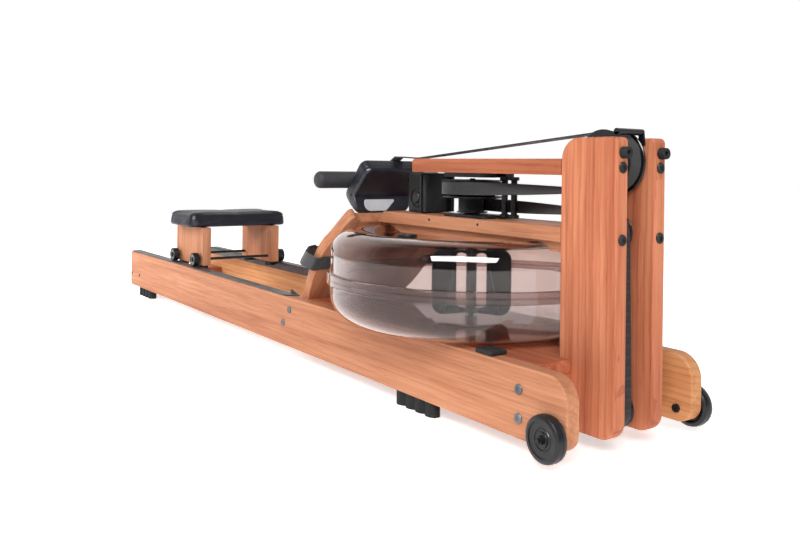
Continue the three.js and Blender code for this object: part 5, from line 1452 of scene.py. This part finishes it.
@dataclass
class Footrest:
    """The inclined footboard with its straps, their buckles and the heel rests."""

    def outline(self) -> list[Point]:
        """The footboard's outline, with a recess in its top edge that the monitor stands in."""
        right = [
            (RAIL_GAP, -105), (RAIL_GAP, 20), (136, 30), (139, 41), (142, 49), (146, 70), (151, 98), (155.5, 130),
            (158.5, 160), (159, 172), (158.6, 186), (156, 206), (148, 227), (141, 255)
        ]
        top = [(134, 282), (130, 292), (125.5, 297), (120, 297), (115, 292), (110, 286), (103, 283.5), (94, 283)]
        recess = [(-60, 283), (-70, 284.5), (-76, 289), (-79, 296), (-82, 307), (-87, 313), (-96, 316)]
        far = [(-112, 313), (-122, 307), (-129.5, 296), (-134, 282)]
        left = [(-x, y) for x, y in reversed(right)]
        return right + top + recess + far + left

    def build(self, finishes: Finishes) -> None:
        """Builds and dresses the footrest."""
        board = Bench.plank("foot_board_panel", self.outline(), Way.BOARD, -27, 0, 2.6)
        dress(board, finishes.board, replaced=["footboard"])
        for side, name in SIDES:
            self.build_strap(name, side, finishes)
            self.build_heel_rest(name, side, finishes)

    @staticmethod
    def build_heel_rest(name: str, side: int, finishes: Finishes) -> None:
        """Builds one sliding heel rest: a ribbed plate with a cup round the heel."""
        left = -side * 74 - 46
        right = left + 92
        plate = Bench.plank(
            f"heel_plate_{name}", box_outline(left, right, 6, 131, 11.5), Way.BOARD, 0.3, 4.3, rims=[(4.3, 1.2, 3)]
        )
        ribs = [
            Bench.plank(
                f"heel_rib_{name}_{k}", box_outline(left + 14, right - 14, y, y + 2.6, 1.2), Way.BOARD, 4, 5.3, 0.4,
                2
            )
            for k, y in enumerate(range(62, 124, 9))
        ]
        middle = (left + right) / 2
        outer, inner = [], []
        for k in range(25):
            turn = math.pi * (1 + k / 24)
            outer.append((middle + 46 * math.cos(turn), 57.5 + 42 * math.sin(turn)))
            inner.append((middle + 41 * math.cos(turn), 57.5 + 36 * math.sin(turn)))
        cup = Bench.plank(
            f"heel_cup_{name}", outer + [(x, y) for x, y in reversed(inner)], Way.BOARD, 3.5, 42.3,
            rims=[(42.3, 1.8, 4)]
        )
        slots = [
            Bench.plank(f"heel_slot_{k}", box_outline(middle - 5, middle + 5, y, y + 5, 2.4), Way.BOARD, -1, 9)
            for k, y in enumerate((70.5, 88.5, 106.5))
        ]
        rest = Bench.join(f"heel_holder_{name}", [Bench.carve(plate, slots), *ribs, cup])
        body = f"heel_rest_{name}"
        dress(rest, finishes.plastic, body, [body])

    def build_strap(self, name: str, side: int, finishes: Finishes) -> None:
        """Builds one foot strap, with its buckle."""
        half = 1.25
        under = -27 - 0.3 - half
        edge = 159 + 5 + half
        rise = 50.0
        marks = [
            (edge - 45, under), (edge - 22.5, under), (edge - half, under - half), (edge + 3 * half, under / 2),
            (edge + half, rise * 0.35), (edge * 0.88, rise * 0.82), (edge * 0.6, rise), (edge * 0.33, rise * 0.72),
            (24, rise * 0.3), (24, 0), (24, -27)
        ]
        mirror = -side
        droop = [0, 0, 0, 10, 30, 46, 48, 34, 8, 0, 0]
        places = [Vector((mirror * x, 152 - fall, z)) for (x, z), fall in zip(marks, droop)]
        route = [(point, Vector((0, 1, 0))) for point in smooth_route(places, 8)]
        strap = Bench.ribbon(f"foot_strap_web_{name}", route, 40, 2.5, WAYS[Way.BOARD], 8)
        dress(strap, finishes.foot_webbing, replaced=[f"foot_strap_{name}"])
        spot = 5 * 8 + 2
        place, across = route[spot]
        along = (route[spot + 1][0] - place).normalized()
        across = (across - along * across.dot(along)).normalized()
        out = along.cross(across).normalized()
        if out.z < 0:
            out, across = -out, -across
        frame = WAYS[Way.BOARD] @ Matrix.Translation(place) @ Matrix((along, across, out)).transposed().to_4x4()
        ring = Bench.plank(f"buckle_ring_{name}", box_outline(-13, 13, -24, 24, 4), frame, -1.4, 3.4, 0.8)
        opening = Bench.plank("opening", box_outline(-8, 8, -20.6, 20.6, 1.5), frame, -4, 6)
        bar = Bench.plank(f"buckle_bar_{name}", box_outline(-2, 2, -22, 22, 1), frame, 1.2, 3.6, 0.5)
        lever = Bench.plank(f"buckle_lever_{name}", box_outline(-10, 7, -19, 19, 3.5), frame, 3, 5.4, 0.9)
        dress(
            Bench.join(f"buckle_{name}", [Bench.carve(ring, [opening]), bar, lever]), finishes.plastic
        )


def smooth_route(marks: Sequence[Vector], steps: int) -> list[Vector]:
    """A smooth route through marks.

    Args:
        marks: The places it passes.
        steps: Steps between two of them.

    Returns:
        The route's points.
    """
    route = []
    last = len(marks) - 1
    for i in range(last):
        before, here = marks[max(0, i - 1)], marks[i]
        after, beyond = marks[i + 1], marks[min(last, i + 2)]
        for k in range(steps):
            t = k / steps
            route.append(
                0.5 * (
                    2 * here + (after - before) * t + (2 * before - 5 * here + 4 * after - beyond) * t * t
                    + (3 * here - before - 3 * after + beyond) * t * t * t
                )
            )
    route.append(marks[-1].copy())
    return route


@dataclass
class Monitor:
    """The monitor's two shells, its foot with a bare plate, its screen, buttons and hooks."""

    middle: float = 318
    offset: float = 20
    width: float = 165
    height: float = 125
    back: float = 32
    front: float = 70
    part: float = 46
    window: tuple[float, float] = (96, 46)
    window_rise: float = 24
    buttons: tuple[float, ...] = (0, 40)
    button_place: float = 266

    def outline(self) -> list[Point]:
        """The shell's outline: crisp upper corners, and a wide round lower edge."""
        left, right = self.offset - self.width / 2, self.offset + self.width / 2
        low, high = self.middle - self.height / 2, self.middle + self.height / 2
        return box_outline(left, right, low, high, 36, 36, 17, 17, steps=12)

    def build(self, finishes: Finishes) -> None:
        """Builds and dresses the monitor."""
        rear = Bench.plank(
            "monitor_rear_shell", self.outline(), Way.BOARD, self.back, self.part - 0.4,
            rims=[(self.back, 9, 7), (self.part - 0.4, 1.1, 3)]
        )
        recess = Bench.turned(
            "recess", [(0, self.back - 4), (7, self.back - 4), (7, self.back + 3), (0, self.back + 3)],
            board_axis(-24, 352)
        )
        Bench.carve(rear, [recess])
        half = self.width / 2
        foot = Bench.plank(
            "monitor_foot",
            rounded([(-half, -8, 0), (half, -8, 0), (half, 37, 32), (-half + 30, 37, 26), (-half + 2, -3, 10)], 12),
            self.foot_way(), -18, 0, rims=[(0, 7, 6)]
        )
        dress(Bench.join("monitor_rear", [rear, foot]), finishes.monitor, replaced=["monitor_back"])
        self.build_face(finishes)
        self.build_plate(finishes)

    def build_face(self, finishes: Finishes) -> None:
        """Builds the front shell with its window, buttons and hooks."""
        face = Bench.plank(
            "monitor_face_shell", self.outline(), Way.BOARD, self.part, self.front,
            rims=[(self.front, 10, 8), (self.part, 1.1, 3)]
        )
        wide, high = self.window
        level = self.middle + self.window_rise
        tools = [
            Bench.plank(
                "window",
                box_outline(self.offset - wide / 2, self.offset + wide / 2, level - high / 2, level + high / 2, 5),
                Way.BOARD, self.front - 5.5, self.front + 4
            )
        ]
        for x in self.buttons:
            tools.append(
                Bench.turned(
                    "button_hole",
                    [(0, self.front - 8), (5.4, self.front - 8), (5.4, self.front + 4), (0, self.front + 4)],
                    board_axis(x, self.button_place), 40
                )
            )
        face = Bench.carve(face, tools)
        parts = [face]
        for across in (-28, 28):
            hook = Bench.plank(
                "hook",
                rounded(
                    [
                        (314.2, 66, 0), (323.2, 66, 0), (323.2, 112, 4), (305.2, 121, 3), (305.2, 115, 2),
                        (314.2, 109, 4)
                    ],
                    5
                ),
                Way.HOOK, self.offset + across - 3.5, self.offset + across + 3.5, 1.4
            )
            parts.append(hook)
        dress(Bench.join("monitor_face", parts), finishes.monitor, replaced=["monitor_front"])
        glass = Bench.plank(
            "monitor_window",
            box_outline(
                self.offset - wide / 2 + 0.4, self.offset + wide / 2 - 0.4, level - high / 2 + 0.4,
                level + high / 2 - 0.4, 4.6
            ),
            Way.BOARD, self.front - 5.4, self.front - 2.6, 0.4
        )
        dress(glass, finishes.screen, replaced=["monitor_screen"])
        for i, x in enumerate(self.buttons):
            top = self.front + 1.5
            cap = Bench.turned(
                f"button_cap_{i + 1}",
                [
                    (0, top - 6), (5, top - 6), (5, top - 1), (4.4, top - 0.2), (3.4, top), (2, top - 0.4),
                    (0, top - 0.6)
                ],
                board_axis(x, self.button_place), 40
            )
            node = f"monitor_button_{i + 1}"
            dress(cap, finishes.rubber, node, [node])

    def foot_way(self) -> Matrix:
        """The frame of the foot's face: x across, y down the face, z off it towards the pulley end."""
        along, out = Vector((0, -0.458, -0.889)), Vector((0, 0.889, -0.458))
        turn = Matrix((Vector((1, 0, 0)), along, out)).transposed().to_4x4()
        return WAYS[Way.BOARD] @ Matrix.Translation((self.offset, 300.5, self.back)) @ turn

    def build_plate(self, finishes: Finishes) -> None:
        """Builds the bare silver plate on the monitor's foot."""
        plate = Bench.plank(
            "rear_plate", rounded([(-27, 7, 3), (57, 7, 6), (62, 34, 15), (4, 34, 12)], 10), self.foot_way(), -1,
            0.8, rims=[(0.8, 0.5, 2)]
        )
        dress(plate, finishes.silver)


@dataclass
class Handle:
    """The pull handle: a bar with a foam grip at each side."""

    half: float = 172
    grip: float = 19
    strap_gap: float = 26

    def build(self, finishes: Finishes) -> None:
        """Builds and dresses the handle."""
        grip, gap, dome = self.grip, self.strap_gap, 12
        round_start = self.half - dome
        side = [(HANDLE_CORE, gap), (grip - 1.4, gap), (grip, gap + 1.4), (grip, round_start)]
        for k in range(1, 8):
            turn = math.pi / 2 * k / 8
            side.append((grip - dome + dome * math.cos(turn), round_start + dome * math.sin(turn)))
        side.append((0, self.half))
        handle = Bench.turned("pull_handle", [*mirrored(side), *side], cross_axis(*HANDLE), 64)
        dress(handle, finishes.foam, "handle", ["handle"])


@dataclass
class SeatCarriage:
    """The rolling seat: side boards, pad, axles, wheels and glide knobs."""

    middle: float = 468.7
    block_length: float = 222
    inner: float = 99.8
    outer: float = 125.8
    low: float = 148
    high: float = 261.5
    spacing: float = 172
    axle: float = 165.9
    pad_half: Point = (94, 160)
    pad_heights: Point = (262, 302)

    def build(self, finishes: Finishes) -> None:
        """Builds and dresses the carriage."""
        ends = (("rear", self.middle - self.spacing / 2), ("front", self.middle + self.spacing / 2))
        for side, name in SIDES:
            block = Bench.plank(
                f"seat_side_board_{name}",
                box_outline(
                    self.middle - self.block_length / 2, self.middle + self.block_length / 2, self.low, self.high, 4
                ),
                Way.SIDE, *between(side, self.inner, self.outer), 2.2
            )
            wood = finishes.block_right if side < 0 else finishes.block_left
            dress(block, wood, "seat", [f"seat_block_{name}"])
            for end, x in ends:
                self.build_knob(f"glide_knob_{end}_{name}", x, side, finishes)
                self.build_wheel(f"{end}_{name}", x, side, finishes)
        for end, x in ends:
            half = [
                (4, 147.6), (6.4, 147.9), (6.8, 148.3), (6.8, 151.4), (6.2, 152), (3.4, 152), (3, 150.4), (0, 150.4)
            ]
            axle = Bench.turned(f"seat_axle_rod_{end}", [*mirrored(half), *half], cross_axis(x, self.axle), 48)
            dress(axle, finishes.black_steel, "seat", [f"seat_axle_{end}"])
        self.build_pad(finishes)

    def build_wheel(self, name: str, x: float, side: int, finishes: Finishes) -> None:
        """Builds one roller: a black tyre on a grey hub."""
        tyre = Bench.turned(
            f"seat_roller_{name}",
            [
                (14.2, 132), (18.4, 132), (19.6, 132.6), (20, 133.8), (20, 148.2), (19.4, 149.4), (18, 150),
                (16, 150), (15.2, 149.4), (14.8, 148.4), (14.2, 148.4)
            ],
            cross_axis(x, self.axle, side), 72, closed=True
        )
        node = f"seat_wheel_{name}"
        dress(tyre, finishes.tread, node, [node])
        hub = Bench.turned(
            f"seat_hub_{name}",
            [
                (4.4, 133), (14.6, 133), (14.6, 148.8), (13.8, 149.2), (12.6, 148.6), (8.4, 148.4), (7.6, 147.2),
                (4.4, 147.2)
            ],
            cross_axis(x, self.axle, side), 48, closed=True
        )
        dress(hub, finishes.steel, node)

    def build_knob(self, name: str, x: float, side: int, finishes: Finishes) -> None:
        """Builds one fluted glide knob under a side board."""
        inward = 6.5 if x < self.middle else -6.5
        profile = [
            (0, 134.6), (10, 134.6), (12.4, 136), (13, 138.4), (12.8, 145), (11.6, 147), (9, 147.8), (4, 148),
            (4, 150), (0, 150)
        ]
        knob = Bench.turned(name, profile, Matrix.Identity(4), 72)
        for vertex in knob.data.vertices:
            reach = math.hypot(vertex.co.x, vertex.co.y)
            if reach > 9.8:
                turn = math.atan2(vertex.co.y, vertex.co.x)
                pull = 1 - 0.05 * (1 + math.cos(9 * turn))
                vertex.co.x *= pull
                vertex.co.y *= pull
            if vertex.co.y * side < 0:
                vertex.co.y *= 1.7
        Bench.settle(knob, upright_axis(x + inward, side * 117.1))
        dress(knob, finishes.plastic, "seat")

    def build_pad(self, finishes: Finishes) -> None:
        """Builds the seat pad: a stuffed cover with a middle channel and a sewn edge."""
        long, wide = self.pad_half
        low, high = self.pad_heights
        outline = box_outline(self.middle - long, self.middle + long, -wide, wide, 20)
        pad = Bench.plank("seat_cushion", outline, Way.FLAT, low, high, rims=[(high, 7, 4), (low, 4, 3)])
        self.stuff(pad)
        for vertex in pad.data.vertices:
            place = vertex.co
            across = place.y / MM
            lift = max(0.0, min(1.0, (place.z / MM - 285) / 14))
            for line, rise, spread in ((0, -1.2, 15), (-78, 0.8, 40), (78, 0.8, 40)):
                place.z += MM * lift * rise * math.exp(-(((across - line) / spread) ** 2))
            pinch = 0.0075 * math.exp(-(((place.z / MM - 292) / 1.6) ** 2))
            place.x -= (place.x - MM * (self.middle - HALF_LENGTH)) * pinch * 1.4
            place.y -= place.y * pinch
        Bench.smooth(pad, 60)
        dress(pad, finishes.cover, "seat", ["seat_pad"])

    @staticmethod
    def stuff(pad: Piece) -> None:
        """Fills the pad out with a short cloth simulation, which is then applied."""
        last_step, cap = 20, 4.5 * MM
        Bench.take(pad)
        Bench.modify(pad, "even faces", "REMESH", mode="VOXEL", voxel_size=5 * MM)
        rest = [vertex.co.copy() for vertex in pad.data.vertices]
        held = pad.vertex_groups.new(name="board")
        held.add([v.index for v in pad.data.vertices if v.co.z < 265.5 * MM], 1.0, "REPLACE")
        cloth = pad.modifiers.new("stuffing", "CLOTH")
        cloth.settings.use_pressure = True
        cloth.settings.uniform_pressure_force = 4
        cloth.settings.effector_weights.gravity = 0
        cloth.settings.vertex_group_mass = held.name
        cloth.point_cache.frame_start = 1
        cloth.point_cache.frame_end = last_step
        for step in range(1, last_step + 1):
            bpy.context.scene.frame_set(step)
        bpy.ops.object.modifier_apply(modifier=cloth.name)
        bpy.context.scene.frame_set(1)
        for vertex, start in zip(pad.data.vertices, rest):
            move = vertex.co - start
            if move.length > cap:
                vertex.co = start + move * (cap / move.length)
        Bench.modify(pad, "even cover", "SMOOTH", iterations=4)
        Bench.modify(pad, "finer faces", "SUBSURF", levels=1, render_levels=1)


@dataclass
class Tracks:
    """The tracks on the rails, which the seat rolls on, each with a skirt and a raised stop."""

    start: float = 8
    end: float = 1178
    tip: float = 1206
    inner: float = 130.7
    outer: float = 158.5
    low: float = 142.6
    thickness: float = 3

    def build(self, finishes: Finishes) -> None:
        """Builds and dresses the tracks."""
        top = self.low + self.thickness
        for side, name in SIDES:
            outline = [
                (self.start, self.inner), (self.tip, self.inner), (self.tip, self.inner + 3), (self.end, self.outer)
            ]
            outline = [(x, side * y) for x, y in [*outline, (self.start, self.outer)]]
            strip = Bench.plank(f"track_strip_{name}", outline, Way.FLAT, self.low, top, 0.7)
            faces = between(side, self.inner, self.inner + 3)
            skirt = Bench.plank(
                f"track_skirt_{name}", box_outline(self.start, self.end, 122.3, top, 1.2), Way.SIDE, *faces, 0.5
            )
            fin = Bench.plank(
                f"track_fin_{name}",
                rounded(
                    [
                        (self.tip - 42, self.low, 0), (self.tip, self.low, 0), (self.tip, top, 0.6),
                        (self.tip - 42, top + 10, 2.4)
                    ]
                ),
                Way.SIDE, *faces, 0.6
            )
            track = Bench.join(f"track_cap_{name}", [strip, skirt, fin])
            dress(track, finishes.track, replaced=[f"track_{name}"])


@dataclass
class TransportWheels:
    """The wheels at the pulley end that the machine is rolled on."""

    x: float = 2070
    z: float = 49
    radius: float = 37
    inner: float = 163
    outer: float = 185

    def build(self, finishes: Finishes) -> None:
        """Builds and dresses both wheels."""
        a, b, r = self.inner, self.outer, self.radius
        profile = [
            (4.3, a + 1), (12, a + 1), (13, a + 4), (26, a + 4), (28, a + 1), (30, a), (33, a + 0.6), (36, a + 3),
            (r, a + 7), (r, a + 10), (r - 0.8, a + 10.4), (r - 0.8, a + 11.6), (r, a + 12), (r, b - 7), (36, b - 3),
            (33, b - 0.6), (30, b), (27.6, b - 0.4), (27.2, b - 2), (18, b - 2.6), (17.4, b - 1.6), (15.6, b - 1.6),
            (15, b - 2.8), (12.4, b - 2.8), (11.6, b - 0.8), (4.3, b - 0.8)
        ]
        for side, name in SIDES:
            wheel = Bench.turned(f"roll_wheel_{name}", profile, cross_axis(self.x, self.z, side), 112, closed=True)
            node = f"transport_wheel_{name}"
            dress(wheel, finishes.tread, node, [node])
            finishes.redress(f"transport_axle_{name}", finishes.black_steel)


@dataclass
class Studio:
    """Camera, floor and soft lights."""

    eye: tuple[float, float, float] = (1.9184, -1.0743, 0.4534)
    yaw: float = 145.51
    pitch: float = 0.27
    roll: float = 0.78
    focal_pixels: float = 838.56
    principal: tuple[float, float] = (396.02, 162.63)

    def camera(self) -> None:
        """Sets the camera at the photograph's place."""
        yaw, pitch, roll = (math.radians(a) for a in (self.yaw, self.pitch, self.roll))
        ahead = Vector((math.cos(yaw) * math.cos(pitch), math.sin(yaw) * math.cos(pitch), math.sin(pitch)))
        right = ahead.cross(Vector((0, 0, 1))).normalized()
        above = right.cross(ahead)
        level = right * math.cos(roll) + above * math.sin(roll)
        crown = -right * math.sin(roll) + above * math.cos(roll)
        data = bpy.data.cameras.new("photo_camera")
        camera = bpy.data.objects.new("photo_camera", data)
        bpy.context.scene.collection.objects.link(camera)
        turn = Matrix((level, crown, -ahead)).transposed().to_4x4()
        camera.matrix_world = Matrix.Translation(self.eye) @ turn
        data.sensor_width = SENSOR
        data.lens = self.focal_pixels * SENSOR / PICTURE[0]
        data.shift_x = (PICTURE[0] / 2 - self.principal[0]) / PICTURE[0]
        data.shift_y = (self.principal[1] - PICTURE[1] / 2) / PICTURE[0]
        data.clip_start = 0.01
        bpy.context.scene.camera = camera

    def light(
        self, name: str, place: Sequence[float], target: Sequence[float], size: Sequence[float], power: float,
        glints: bool = True, fills: bool = True
    ) -> None:
        """Adds a soft box.

        Args:
            name: The lamp's name.
            place: Where it hangs.
            target: What it faces.
            size: Its width and height.
            power: Its power in watts.
            glints: Whether it is seen in glossy surfaces.
            fills: Whether it lights plain surfaces.
        """
        data = bpy.data.lights.new(name, "AREA")
        data.shape = "RECTANGLE"
        data.size, data.size_y = size
        data.energy = power
        lamp = bpy.data.objects.new(name, data)
        bpy.context.scene.collection.objects.link(lamp)
        lamp.visible_glossy, lamp.visible_transmission, lamp.visible_diffuse = glints, glints, fills
        facing = Vector(target) - Vector(place)
        lamp.matrix_world = Matrix.Translation(place) @ facing.to_track_quat("-Z", "Y").to_matrix().to_4x4()

    def build(self) -> None:
        """Builds the floor, the world and the lamps."""
        world = bpy.data.worlds.new("studio")
        bpy.context.scene.world = world
        world.use_nodes = True
        tree = world.node_tree
        background = tree.nodes["Background"]
        background.inputs["Strength"].default_value = 1.0
        direction = tree.nodes.new("ShaderNodeTexCoord")
        room = tree.nodes.new("ShaderNodeVectorMath")
        room.operation = "DOT_PRODUCT"
        room.inputs[1].default_value = (0.64, -0.5, 0.58)
        tree.links.new(direction.outputs["Generated"], room.inputs[0])
        ramp = tree.nodes.new("ShaderNodeValToRGB")
        tree.links.new(room.outputs["Value"], ramp.inputs["Fac"])
        low, high = ramp.color_ramp.elements
        low.position, low.color = 0.0, (1.05, 1.05, 1.05, 1)
        high.position, high.color = 0.34, (0.09, 0.09, 0.1, 1)
        tree.links.new(ramp.outputs["Color"], background.inputs["Color"])
        bpy.context.scene.view_settings.view_transform = "Standard"
        Bench.clear()
        bpy.ops.mesh.primitive_plane_add(size=60, location=(0, 0, -0.0005))
        floor = bpy.context.active_object
        floor.name = "studio_floor"
        nodes = Nodes("studio_floor")
        nodes.set(
            Base_Color=(0.97, 0.97, 0.97, 1), Roughness=0.6, Specular_IOR_Level=0.2, Emission_Color=(1, 1, 1, 1)
        )
        nodes.set(Emission_Strength=0.55)
        floor.data.materials.append(nodes.material)
        self.light("key", (-2.1, -1.5, 1.3), (-1.0, 0, 0.15), (1.6, 1.2), 58, glints=False)
        self.light("front", (3.2, -2.3, 2.4), (0.9, 0, 0.2), (2.2, 1.4), 156, glints=False)
        self.light("tank_box", (2.35, -1.8, 2.55), (0.62, 0, 0.25), (2.7, 1.3), 360, fills=False)


def corners(box: Sequence[Vector]) -> list[list[float]]:
    """A box as plain lists of numbers."""
    return [list(map(float, corner)) for corner in box]


def main() -> None:
    """Builds the machine's looks in order."""
    logging.basicConfig(level=logging.INFO, format="%(message)s")
    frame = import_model()
    studio = Studio()
    studio.camera()
    finishes = Finishes(frame["nodes"])
    assemblies = (
        Rails, Uprights, Deck, WaterTank, Drive, Footrest, Monitor, Handle, SeatCarriage, Tracks, TransportWheels
    )
    for assembly in assemblies:
        assembly().build(finishes)
        LOG.info("built %s", assembly.__name__)
    studio.build()
    Bench.clear()


if __name__ == "__main__":
    main()
